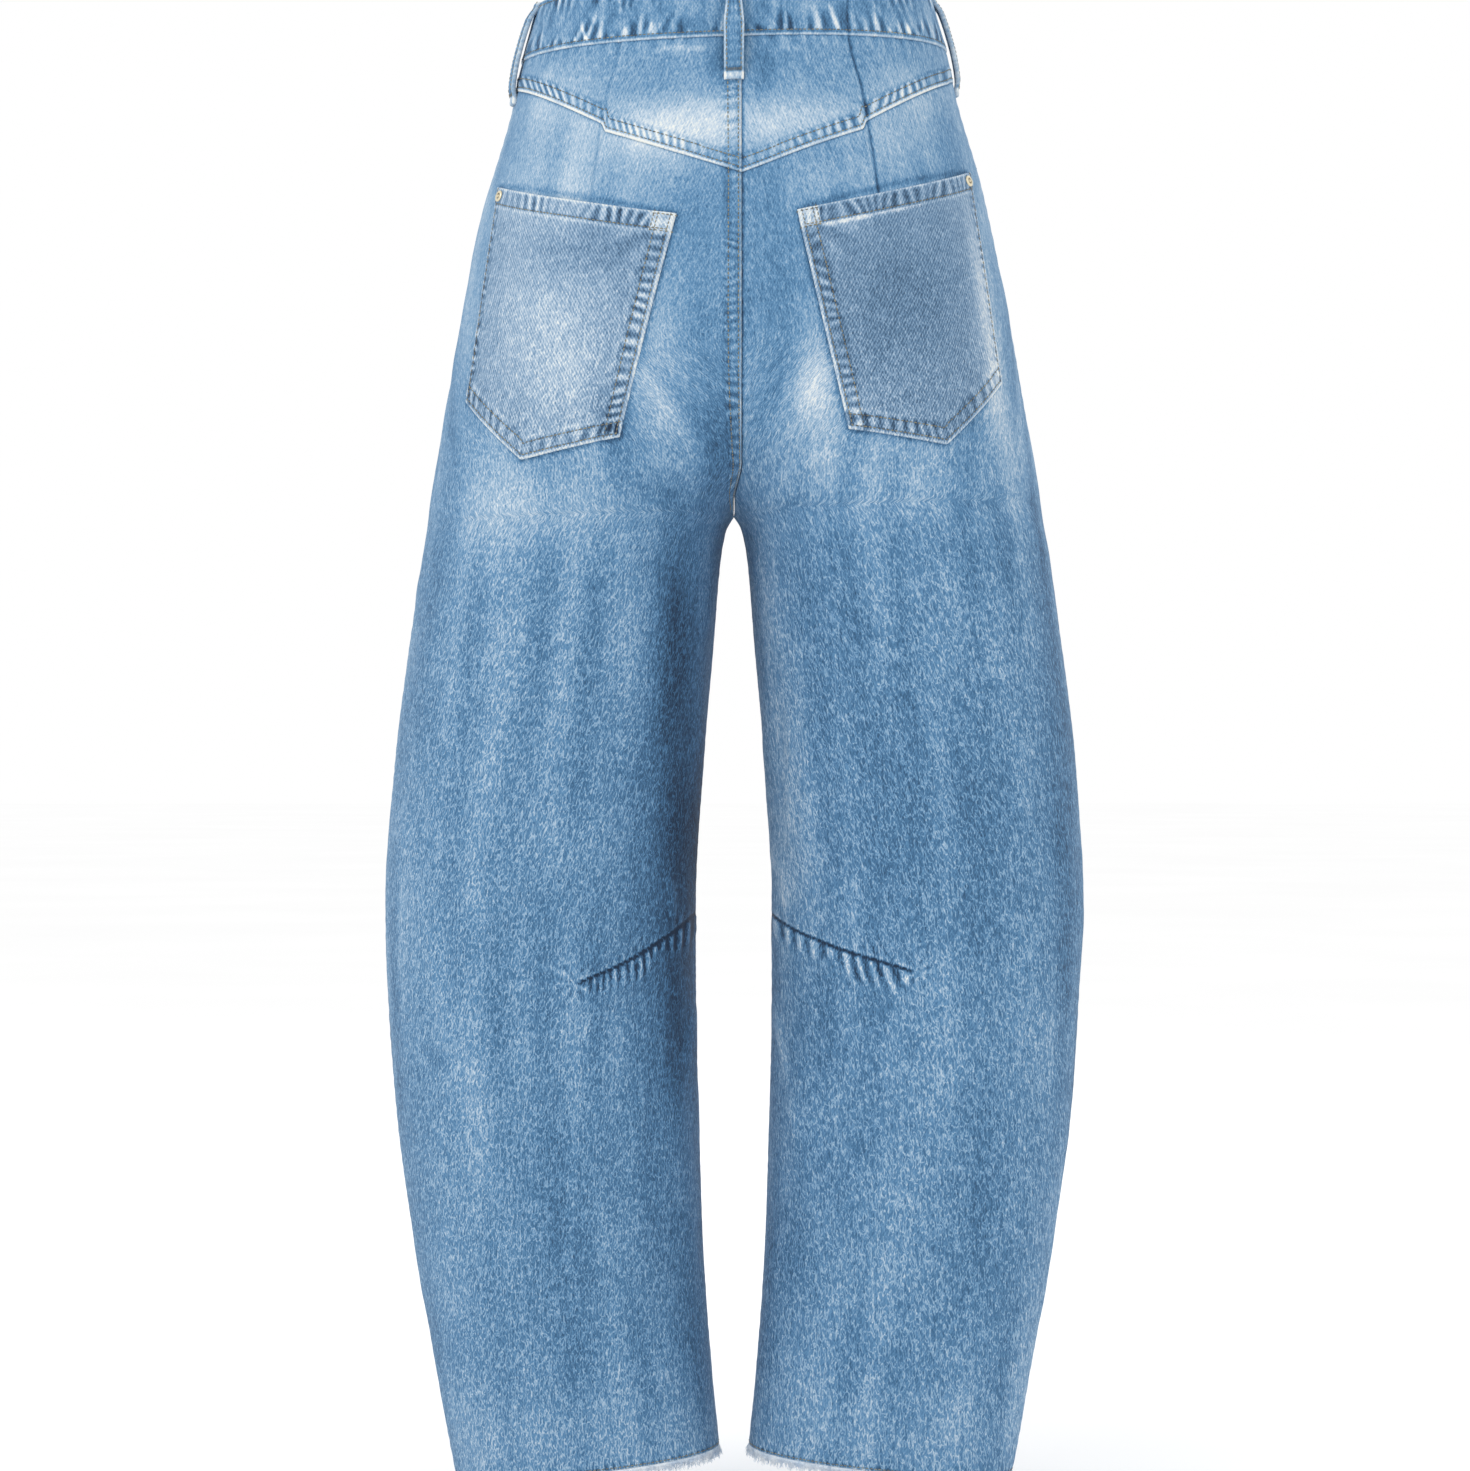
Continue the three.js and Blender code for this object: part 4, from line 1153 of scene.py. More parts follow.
def grown(
    name: str, lines: list[Array], tree: NodeTree, sizes: dict[str, float], **others: object
) -> Object:
    """Object that a geometry tree grows along some lines.

    Args:
        name: The object's name.
        lines: Points of each line, in metres.
        tree: The geometry tree.
        sizes: Value of each of its inputs for sizes, in millimetres.
        others: Value of each other input, by its name without capitals.

    Returns:
        The object, with the tree's result as its own mesh.
    """
    values = {label: size * MM for label, size in sizes.items()}
    values.update({label.capitalize(): value for label, value in others.items()})
    starts = np.cumsum([0] + [len(line) for line in lines])
    edges = [(k, k + 1) for a, b in zip(starts, starts[1:]) for k in range(a, b - 1)]
    mesh = bpy.data.meshes.new(name)
    mesh.from_pydata(np.vstack(lines).tolist(), edges, [])
    made = placed(name, mesh)
    modifier = made.modifiers.new("grown", "NODES")
    modifier.node_group = tree
    for item in tree.interface.items_tree:
        if item.item_type == "SOCKET" and item.in_out == "INPUT" and item.name in values:
            modifier[item.identifier] = values[item.name]
    graph = bpy.context.evaluated_depsgraph_get()
    finished = bpy.data.meshes.new_from_object(made.evaluated_get(graph))
    made.modifiers.clear()
    made.data = finished
    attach(made, BODY)
    return made


def stand_for(made: Object, node: str) -> None:
    """Puts a piece on the one body in place of its solid."""
    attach(made, BODY)
    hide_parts(node)


@dataclass
class Workshop:
    """Materials and trees shared by the pieces."""

    denims: dict[str, Material] = field(
        default_factory=lambda: {slot: finish.material() for slot, finish in DENIMS.items()}
    )
    thread: Material = field(
        default_factory=CottonFinish("faded_topstitch_thread", "#585c5c", "#98927c").material
    )
    fray: Material = field(
        default_factory=CottonFinish("raw_cotton_ends", "#b6c9de", "#f0f5fa").material
    )
    brass: Material = field(default_factory=MetalFinish().material)
    stitches: NodeTree = field(default_factory=stitch_tree)
    thread_ends: NodeTree = field(default_factory=fray_tree)

    def sew(self, name: str, lines: list[Array], pitch: float = 2.9, thick: float = 0.85) -> Object:
        """Topstitches along lines, with a spacing and a thread's thickness in millimetres."""
        sizes = {"Pitch": pitch, "Length": 0.86 * pitch, "Thickness": thick}
        return grown(name, lines, self.stitches, sizes, seed=len(name), material=self.thread)

    def wear(self, name: str, lines: list[Array], length: float, pitch: float, seed: int) -> Object:
        """Loose thread ends along lines, of a greatest length and spacing in millimetres."""
        sizes = {"Pitch": pitch, "Length": length, "Radius": 0.17, "Curl": 0.42 * length}
        return grown(name, lines, self.thread_ends, sizes, tilt=0.45, seed=seed, material=self.fray)

    def dress(
        self,
        cloth: Cloth,
        node: str,
        slot: str = "denim_panel",
    ) -> None:
        """Args:
            cloth: The piece.
            node: Solid it stands for.
            slot: Its material slot in the record, which says its denim.
        """
        made = cloth.build()
        made.data.materials.append(self.denims[slot])
        width, length, area = cloth.patch.cut()
        stand_for(made, node)
        LOG.info("%s: cut %.0f x %.0f mm, %.4f m2", cloth.name, width / MM, length / MM, area)


def waist_place(turn: Array) -> tuple[Array, Array]:
    """Side and girth at a turn round the waist, from the centre front over the wearer's right."""
    turn = np.mod(np.asarray(turn, float) + 4, 4)
    return np.where(turn <= 2, -1, 1), np.where(turn <= 2, turn - 1, 3 - turn)


@dataclass
class Waistband:
    """Straight band of folded denim that laps at the centre front."""

    columns: int = 700
    row: float = 3.6
    crest_pitch: float = 10.0
    crest_reach: float = 21.0

    def build(self, shop: Workshop) -> None:
        """Makes the band, its puckers and its rows of stitching."""
        turn = np.linspace(BAND_UNDER_END, BAND_OVER_END, self.columns)
        side, girth = waist_place(turn)
        z = BAND_TOP - BAND_HEIGHT * graded(BAND_HEIGHT, 0.6, 1.3, 8)
        patch = Patch(side, girth[None, :], z[:, None])
        cloth = Cloth("denim_waistband", patch, BAND_CLOTH)
        cloth.lift += BAND_PROUD - (BAND_CLOTH + BAND_LAP_GAP) * (1 - smooth(*BAND_STEP, turn))
        cloth.rumple(0.45, 46, 11)
        cloth.wash()
        along = patch.from_first[-1:] + 0 * patch.z
        self.pucker(cloth, patch.from_foot, along, 21)
        self.pucker(cloth, patch.from_top, along + 500, 31, 0.75)
        off = patch.reach - SKIN.princess(patch.z)
        back = (patch.girth > 0).astype(float)
        cloth.groove(off, 0.4, 1.2, -0.9, back * (patch.side < 0))
        cloth.groove(off, 0.2, 1.0, 0.35, back * (patch.side > 0))
        cloth.tone += 0.3 * mottle(along, patch.z * 0.5, 6, 44) - 0.06
        edges, ends = (patch.from_foot, patch.from_top), (patch.from_first, patch.from_last)
        cloth.tone += sum(0.8 * bell(off - 0.6, 1.1) for off in ends)
        cloth.relief -= sum(0.75 * bell(off, 0.7) for off in (*edges, *ends))
        shop.dress(cloth, "waistband", slot="denim_band")
        rows = [trimmed(cloth.contour(off, self.row, along="across"), 14, 3) for off in edges]
        shop.sew("waistband_stitching", [*rows, trimmed(cloth.contour(patch.from_last, 3.0), 4, 4)])

    def pucker(self, cloth: Cloth, off: Array, along: Array, seed: int, share: float = 1.0) -> None:
        """Gathers the cloth over a stitched edge into short uneven crests.

        Args:
            cloth: The band.
            off: Distance from the edge.
            along: Distance along it.
            seed: Which run of crests.
            share: How strong they are.
        """
        lean = off * wander(along, 15, seed + 3)
        crest = ladder(along + 0.3 * lean, self.crest_pitch, seed)
        fork = sharp(ladder(along - 0.7 * lean, self.crest_pitch * 1.3, seed + 1))
        reach = self.crest_reach * (0.8 + 0.7 * wander(along, 11, seed + 2))
        window = smooth(2.0, 4.5, off) * smooth(reach, 0.35 * reach, off) * share
        bright = np.clip(0.9 * crest + 0.8 * fork, -0.7, 1.1)
        cloth.relief += 0.5 * window * bright + 0.3 * share * bell(off - 1.6, 1.6)
        cloth.tone += 1.35 * window * bright
        cloth.tone += share * 0.85 * bell(off - 0.5, 0.8) - share * 0.4 * bell(off - 2.2, 0.8)
        cloth.relief -= share * 0.24 * bell(off - self.row, 0.7)
        cloth.tone -= share * 0.25 * bell(off - self.row, 0.6)


@dataclass
class BeltLoops:
    """Straps of folded denim, caught under the band's top edge and tacked below the waist seam."""

    rows: int = 75
    columns: int = 17
    stitch_inset: float = 1.9
    # Distances of the bartack's three rows from the strap's foot
    tack_rows: tuple[float, ...] = (5.2, 5.8, 6.4)
    # Share of the gap that is kept behind the two side loops, which hug the band
    side_share: float = 0.6

    def build(self, shop: Workshop) -> None:
        """Makes every loop."""
        heights = np.array([row[0] for row in LOOP_PROFILE], float)
        last = len(heights) - 1
        run = np.interp(np.linspace(0, last, self.rows), np.arange(last + 1), heights)
        for k, (place, turn) in enumerate(LOOPS.items()):
            side, girth = waist_place(turn)
            step = 0.01
            near = SKIN.point(side, girth + step, run) - SKIN.point(side, girth - step, run)
            rate = np.linalg.norm(near, axis=-1) / (2 * step)
            across = np.linspace(-0.5, 0.5, self.columns) * LOOP_WIDTH
            turns = turn + across[None, :] / rate[:, None]
            sides, girths = waist_place(turns)
            patch = Patch(sides, girths, run[:, None] + 0 * turns, parted=False)
            cloth = Cloth(f"belt_loop_strap_{place}", patch, LOOP_CLOTH, step=3)
            cloth.lift += SKIN.loop_gap(patch.z) * (self.side_share if "side" in place else 1.0) + LOOP_CLOTH
            self.shape(cloth, 70 + 5 * k)
            trims = self.trim(cloth, place, shop)
            shop.dress(cloth, f"belt_loop_{place}")

    def shape(self, cloth: Cloth, seed: int) -> None:
        """Rounds, puckers and wears one strap."""
        patch = cloth.patch
        side_off = np.minimum(patch.from_first, patch.from_last)
        middle = bell(side_off - LOOP_WIDTH / 2, 2.6)
        cloth.relief += -0.9 * bell(side_off, 0.9) + 0.3 * middle
        crest = ladder(patch.from_top, 6.5, seed)
        cloth.relief += 0.22 * crest * smooth(2, 5, side_off)
        cloth.tone += 0.3 * crest * bell(side_off - 4, 2.6) + 0.85 * bell(side_off - 0.5, 0.9)
        cloth.relief -= 0.22 * bell(side_off - self.stitch_inset, 0.6)
        cloth.tone -= 0.35 * bell(side_off - self.stitch_inset - 0.9, 0.7)
        foot = patch.from_foot
        cloth.tone += 0.9 * smooth(5.4, 3.8, foot) - 0.45 * bell(foot - 6.2, 0.9)
        cloth.tone += 0.5 * bell(patch.from_top, 2) + 0.2 * bell(patch.z + 12, 12)
        cloth.relief -= 0.7 * bell(foot, 0.8) + 0.7 * bell(patch.from_top, 0.8)

    def trim(self, cloth: Cloth, place: str, shop: Workshop) -> list[Object]:
        """Stitches one strap's two rows and its bartack."""
        patch = cloth.patch
        sides = (patch.from_first, patch.from_last)
        rows = [trimmed(cloth.contour(off, self.stitch_inset), 1, 7) for off in sides]
        foot = patch.from_foot
        tack = [trimmed(cloth.contour(foot, d, along="across"), 1.4, 1.4) for d in self.tack_rows]
        both = shop.sew(f"belt_loop_rows_{place}", rows)
        return [both, shop.sew(f"belt_loop_bartack_{place}", tack, 1.1, 0.6)]


@dataclass
class BackYoke(SidePiece):
    """One half of the pointed yoke, its lower edge felled over the leg."""

    fell: float = 10.0

    def build(self, shop: Workshop) -> None:
        """Makes the yoke with its seams and stitching."""
        girth = graded(160, 0.7, 0.85, 14)
        drop = (yoke_foot(self.sign, girth) - WAIST_SEAM)[None, :]
        patch = Patch(
            self.sign, girth[None, :], WAIST_SEAM + drop * graded(70, 0.8, 1.15, 14)[:, None], felled=True
        )
        cloth = Cloth(f"denim_yoke_{self.word}", patch, YOKE_CLOTH)
        cloth.rumple(0.5, 38, 120 + self.sign)
        cloth.wash()
        foot_off = patch.level_off(patch.from_foot, -1)
        pitch = 4.8 if self.left else 6.5
        seam = SewnEdge(self.fell, 0.45, (2.9, 8.8), pitch, 0.22, 140 + self.sign, 1.2, 1.0)
        seam.press(cloth, foot_off, patch.reach)
        if self.left:
            fell = SewnEdge(FELL_WIDTH, 0.45, FELL_ROWS, 6.0, 0.2, 150, 1.1, 0.7)
            fell.press(cloth, patch.from_last, patch.z)
        else:
            cloth.groove(patch.from_last, 0.4, 1.5, -1.0)
        # Painted shadow of the waistband along the yoke's top edge, in a sunk line
        cloth.groove(patch.from_top, 0.3, 1.5, -0.4)
        hug = ladder(patch.from_first, 10, 160 + self.sign) * smooth(12, 2, patch.from_top)
        cloth.mark(hug, 0.2, 0.22)
        off = patch.reach - SKIN.princess(patch.z)
        cloth.groove(off, 0.5, 1.2, -0.3 if self.left else -1.1)
        cloth.mark(ladder(patch.z, 6.5, 165) * bell(np.abs(off) - 3.5, 2.8), 0.14, 0.14)
        cloth.tone += 0.16 * bell(off + 2.2, 1.2)
        cloth.groove(patch.from_first, 0.4, 1.6, -0.3)
        shop.dress(cloth, f"yoke_{self.word}")
        rows = [trimmed(cloth.contour(foot_off, d, along="across"), 2, 1) for d in seam.rows]
        if self.left:
            rows += [cloth.contour(patch.from_last, d) for d in FELL_ROWS]
        shop.sew(f"yoke_stitching_{self.word}", rows)


@dataclass
class BackLeg(SidePiece):
    """One back leg from the yoke to the raw hem, with its knee dart."""

    # How far the dart's line bows down
    bow: float = 5.0

    def build(self, shop: Workshop) -> None:
        """Makes the leg with its seams, dart, wear and stitching."""
        girth = np.interp(np.arange(BACK_COLUMNS[-1][0] + 1), *np.array(BACK_COLUMNS, float).T)
        heights = leg_heights(self.sign, girth, yoke_foot(self.sign, girth), 1.0)
        patch = Patch(self.sign, girth[None, :], heights, felled=True)
        cloth = Cloth(f"denim_back_leg_{self.word}", patch, DENIM)
        cloth.tone += 0.1 * mottle(patch.u, patch.v, 70, 220 + self.sign)
        leg_wash(cloth, 200 + self.sign, 0.24)
        # Painted shadow of the yoke's edge along the leg's top, in a sunk line
        cloth.groove(patch.level_off(patch.from_top, 0), 0.35, 1.5, -0.5)
        above = smooth(CROTCH - 2, CROTCH + 12, patch.z)
        if self.left:
            fell = SewnEdge(FELL_WIDTH, 0.45, FELL_ROWS, 6.0, 0.16, 230, 1.1, 0.7)
            fell.press(cloth, patch.from_last, patch.z, above)
        else:
            cloth.groove(patch.from_last, 0.45, 1.6, -1.1, above)
            cloth.mark(ladder(patch.z, 7.5, 231) * smooth(16, 3, patch.from_last) * above, 0.18, 0.14)
        seam_wear(cloth, patch.from_first, 240, 1.0)
        seam_wear(cloth, patch.from_last, 250, 1 - above)
        self.beside_pocket(cloth)
        self.dart(cloth)
        hem_wear(cloth, 260 + self.sign)
        off = patch.reach - SKIN.princess(patch.z)
        cloth.groove(off, 0.45, 1.2, -0.3 if self.left else -1.1, smooth(-136, -128, patch.z))
        shop.dress(cloth, f"back_{self.word}")
        rows = [cloth.contour(patch.level_off(patch.from_foot, -1), STAY_STITCH, along="across")]
        if self.left:
            seat = np.nonzero(patch.z[:, -1] > CROTCH + 3)[0]
            rows += [cloth.contour(patch.from_last, d, seat) for d in FELL_ROWS]
        shop.sew(f"back_leg_stitching_{self.word}", rows)

    def beside_pocket(self, cloth: Cloth) -> None:
        """Paints the pocket's shadow: darkens the leg right beside the pocket's edges."""
        names = ("top_outer", "top_inner", "bottom_inner", "tip", "bottom_outer")
        # Painted shadow along each of the pocket's edges
        for first, last in zip(names, names[1:] + names[:1]):
            line = (*POCKET_CORNERS[first], *POCKET_CORNERS[last])
            t, off, _ = line_place(line, cloth.patch.reach, cloth.patch.z)
            cloth.tone -= 0.55 * bell(off, 2.0) * smooth(-0.03, 0.02, t) * smooth(1.03, 0.98, t)

    def dart(self, cloth: Cloth) -> None:
        """Sews the knee dart: a sunk line with puckers under it, fanned out at its tip."""
        dart, patch = KNEE_DARTS[self.sign], cloth.patch
        t, off, length = line_place((*dart.start, *dart.tip), patch.reach, patch.z)
        off = off + self.bow * np.sin(math.pi * np.clip(t, 0, 1) ** dart.sag)
        sewn = smooth(-0.03, 0.04, t) * smooth(1.02, 0.94, t)
        cloth.relief += sewn * (-0.8 * bell(off, 1.4) + 0.7 * bell(off - 6, 6) + 0.5 * bell(off + 6, 6))
        cloth.tone += sewn * (0.3 * bell(off - 2.0, 1.2) - 1.9 * bell(off, 0.9))
        place = patch.reach + dart.lean * np.clip(t, 0, 1) * off
        turns = place / dart.pitch + 0.3 * wander(place, 2.6 * dart.pitch, dart.seed)
        crest = (0.95 + 0.2 * wander(place, 12, dart.seed + 1)) * (np.cos(2 * math.pi * turns) - 0.1)
        reach = dart.reach * (0.8 + 0.5 * wander(t * length, 17, dart.seed + 3))
        below = smooth(0.0, -1.6, off) * smooth(-reach, -0.45 * reach, off)
        over = smooth(0.8, 2.4, off) * smooth(0.6 * reach, 0.2 * reach, off)
        gather = smooth(-0.05, 0.08, t) * smooth(1.04, 0.9, t) * (below + 0.35 * over)
        cloth.mark(gather * crest, 0.55, 0.85)
        away, rise = patch.reach - dart.tip[0], patch.z - dart.tip[1]
        distance, angle = np.hypot(away, rise), np.arctan2(rise, away)
        fan = np.cos(7 * angle + 2 * np.sin(angle)) * bell(distance - 7, 5) + 0.5 * bell(distance, 2)
        cloth.mark(fan, 0.3, 0.45)


def leg_wash(cloth: Cloth, seed: int, streaks: float) -> None:
    """Rumples a leg's cloth and washes it, with upright streaks that strong, and paints the shade on the
    leg's inner and outer sides.
    """
    cloth.rumple(1.1, 62, seed)
    cloth.rumple(0.35, 24, seed + 10)
    cloth.tone += streaks * mottle(cloth.patch.u, 0.12 * cloth.patch.v, 16, seed + 22)
    cloth.wash()


def seam_wear(cloth: Cloth, off: Array, seed: int, share: Array | float) -> None:
    """Sinks a plain seam at a panel's edge, with slight puckers and worn high places beside it.

    Args:
        cloth: The panel.
        off: Distance from its edge.
        seed: Which run of puckers.
        share: How much of the seam is there.
    """
    along = cloth.patch.z
    crest = ladder(along, 11, seed) * smooth(16, 2, off)
    cloth.groove(off, 0.5, 1.5, -0.4, share)
    cloth.relief += share * 0.2 * crest
    worn = 0.25 * bell(off - 4, 2.4) * (0.7 + 0.6 * wander(along, 23, seed + 1))
    cloth.tone += share * (0.14 * crest + worn)


def hem_wear(cloth: Cloth, seed: int) -> None:
    """Puckers a leg over its stay stitching and pales its cut edge."""
    patch = cloth.patch
    off = patch.level_off(patch.from_foot, -1)
    crest = ladder(patch.u, 5.5, seed)
    reach = 9 * (0.8 + 0.5 * wander(patch.u, 13, seed + 1))
    window = smooth(reach, 1.5, off) * smooth(0.4, 1.6, off)
    stay = bell(off - STAY_STITCH, 0.8)
    cloth.relief += 0.28 * window * crest - 0.3 * stay
    cloth.tone += 0.6 * window * crest - 0.6 * stay + 0.7 * bell(off, 0.7)


def leg_heights(sign: int, girth: Array, top: Array, coarse: float) -> Array:
    """Heights of a leg's fine rows at each column.

    Args:
        sign: 1 for the wearer's left, -1 for the right.
        girth: Girth of each column.
        top: Height of its upper edge at each column.
        coarse: How much wider than the table's the rows are spaced.

    Returns:
        The heights, rows by columns.
    """
    (above, above_step), (below, below_step) = SEAT_RUN, HEM_RUN
    share = np.linspace(0, 1, round(above / (above_step * coarse)) + 1)[:-1, None]
    upper = top[None, :] + (CROTCH - top[None, :]) * share
    runs = [np.arange(a, b, -spacing * coarse) for a, b, spacing in ROW_RUNS]
    middle = np.concatenate(runs)[:, None] + 0 * girth[None, :]
    end = ROW_RUNS[-1][1]
    foot = stay_height(sign, girth)
    share = np.linspace(0, 1, round(below / (below_step * coarse)) + 1)[:, None]
    return np.vstack([upper, middle, end + (foot - end)[None, :] * share])


@dataclass
class FrontLeg(SidePiece):
    """One front leg with its scooped pocket mouth and its half of the fly."""

    fly_width: float = 35.0
    fly_turn: float = -142.0
    mouth_rows: tuple[float, float] = (2.0, 8.0)
    # Distances of the fly's two curved rows inside its width
    curved_rows: tuple[float, float] = (0.0, 5.5)
    # From the outseam to the centre front
    front_width: float = 165.0

    def build(self, shop: Workshop) -> None:
        """Makes the leg with its seams, whiskers and stitching."""
        inner = np.linspace(-1, -MOUTH_GIRTH, 34)[:-1]
        outer = -MOUTH_GIRTH * np.cos(np.linspace(0, math.pi / 2, 52))
        outer[-1] = -BESIDE_OUTSEAM
        girth = np.concatenate([inner, outer])
        heights = leg_heights(self.sign, girth, mouth_height(girth), 1.5)
        patch = Patch(self.sign, girth[None, :], heights)
        cloth = Cloth(f"denim_front_leg_{self.word}", patch, DENIM, step=3)
        leg_wash(cloth, 300 + self.sign, 0.2)
        seam_wear(cloth, patch.from_last, 320, 1.0)
        above = smooth(CROTCH - 2, CROTCH + 12, patch.z)
        seam_wear(cloth, patch.from_first, 330, 1 - above)
        hem_wear(cloth, 340 + self.sign)
        mouth, centre = self.mouth_off(patch), patch.from_first
        edge = SewnEdge(9.5, 0.4, self.mouth_rows, 6.5, 0.2, 350)
        edge.press(cloth, mouth, patch.from_last, 1.0 * (mouth > -1))
        if self.left:
            fly = np.hypot(patch.reach, np.maximum(self.fly_turn - patch.z, 0))
            cloth.relief += 0.35 * smooth(self.fly_width + 1, self.fly_width - 1, fly) * above
            cloth.tone -= 0.22 * bell(fly - self.fly_width, 0.9)
            SewnEdge(9.0, 0.35, FLY_ROWS, 6.5, 0.2, 360).press(cloth, centre, patch.z, above)
        else:
            cloth.groove(centre, 0.4, 1.4, -0.5, above)
        shop.dress(cloth, f"front_{self.word}")
        rows = [cloth.contour(patch.level_off(patch.from_foot, -1), STAY_STITCH, along="across")]
        rows += [self.mouth_row(cloth, d) for d in self.mouth_rows]
        if self.left:
            seat = np.nonzero(patch.z[:, 0] > CROTCH + 3)[0]
            rows += [cloth.contour(centre, d, seat) for d in FLY_ROWS]
            rows += [self.fly_row(cloth, self.fly_width - d) for d in self.curved_rows]
        shop.sew(f"front_leg_stitching_{self.word}", rows)

    def mouth_off(self, patch: Patch) -> Array:
        """Distance outside the pocket mouth's curve."""
        p, q = patch.girth / MOUTH_GIRTH, (WAIST_SEAM - patch.z) / MOUTH_DEPTH
        width = MOUTH_GIRTH * patch.from_first[:, -1:]
        size = np.hypot(p, q)
        return (size - 1) / np.hypot(p / size / width, q / size / MOUTH_DEPTH)

    def mouth_row(self, cloth: Cloth, inset: float) -> Array:
        """A stitch row beside the pocket's mouth."""
        angle = np.linspace(0.06, math.pi / 2 - 0.02, 70)
        girth = -(MOUTH_GIRTH * np.cos(angle)) * (1 + inset / (MOUTH_GIRTH * self.front_width))
        z = WAIST_SEAM - (MOUTH_DEPTH + inset) * np.sin(angle)
        keep = z < WAIST_SEAM - 1
        return cloth.on_cloth(np.minimum(girth, -BESIDE_OUTSEAM)[keep], z[keep])

    def fly_row(self, cloth: Cloth, reach: float) -> Array:
        """The fly's curved stitch row."""
        straight = np.linspace(WAIST_SEAM - 2, self.fly_turn, 40)
        turn = np.linspace(0, math.pi / 2 - 0.12, 24)
        x = np.concatenate([0 * straight + reach, reach * np.cos(turn)])
        z = np.concatenate([straight, self.fly_turn - reach * np.sin(turn)])
        return cloth.on_cloth(-SKIN.girth_at_reach(x, z), z)


@dataclass
class PocketFacing(SidePiece):
    """Denim behind the front pocket's mouth."""

    cells: int = 48

    def build(self, shop: Workshop) -> None:
        """Makes the facing, sunk under the front leg."""
        step = np.linspace(0, 1, self.cells + 1)
        p, q = step[None, :], step[:, None]
        across = p * np.sqrt(1 - q * q / 2) * FACING_UNDERLAP
        down = q * np.sqrt(1 - p * p / 2) * FACING_UNDERLAP
        girth = -np.maximum(across * MOUTH_GIRTH, BESIDE_OUTSEAM)
        patch = Patch(self.sign, girth, WAIST_SEAM - MOUTH_DEPTH * down)
        cloth = Cloth(f"denim_facing_{self.word}", patch, DENIM)
        away = np.hypot(across, down)
        cloth.lift -= FACING_RECESS * smooth(*FACING_SLOPE, away)
        # Darker overall, with a painted shade towards its rim, where it runs in under the front leg's mouth
        # edge
        cloth.tone += 0.08 * mottle(patch.u, patch.v, 18, 400) - 0.25 - 0.35 * smooth(0.8, 1, away)
        shop.dress(cloth, f"pocket_facing_{self.word}")


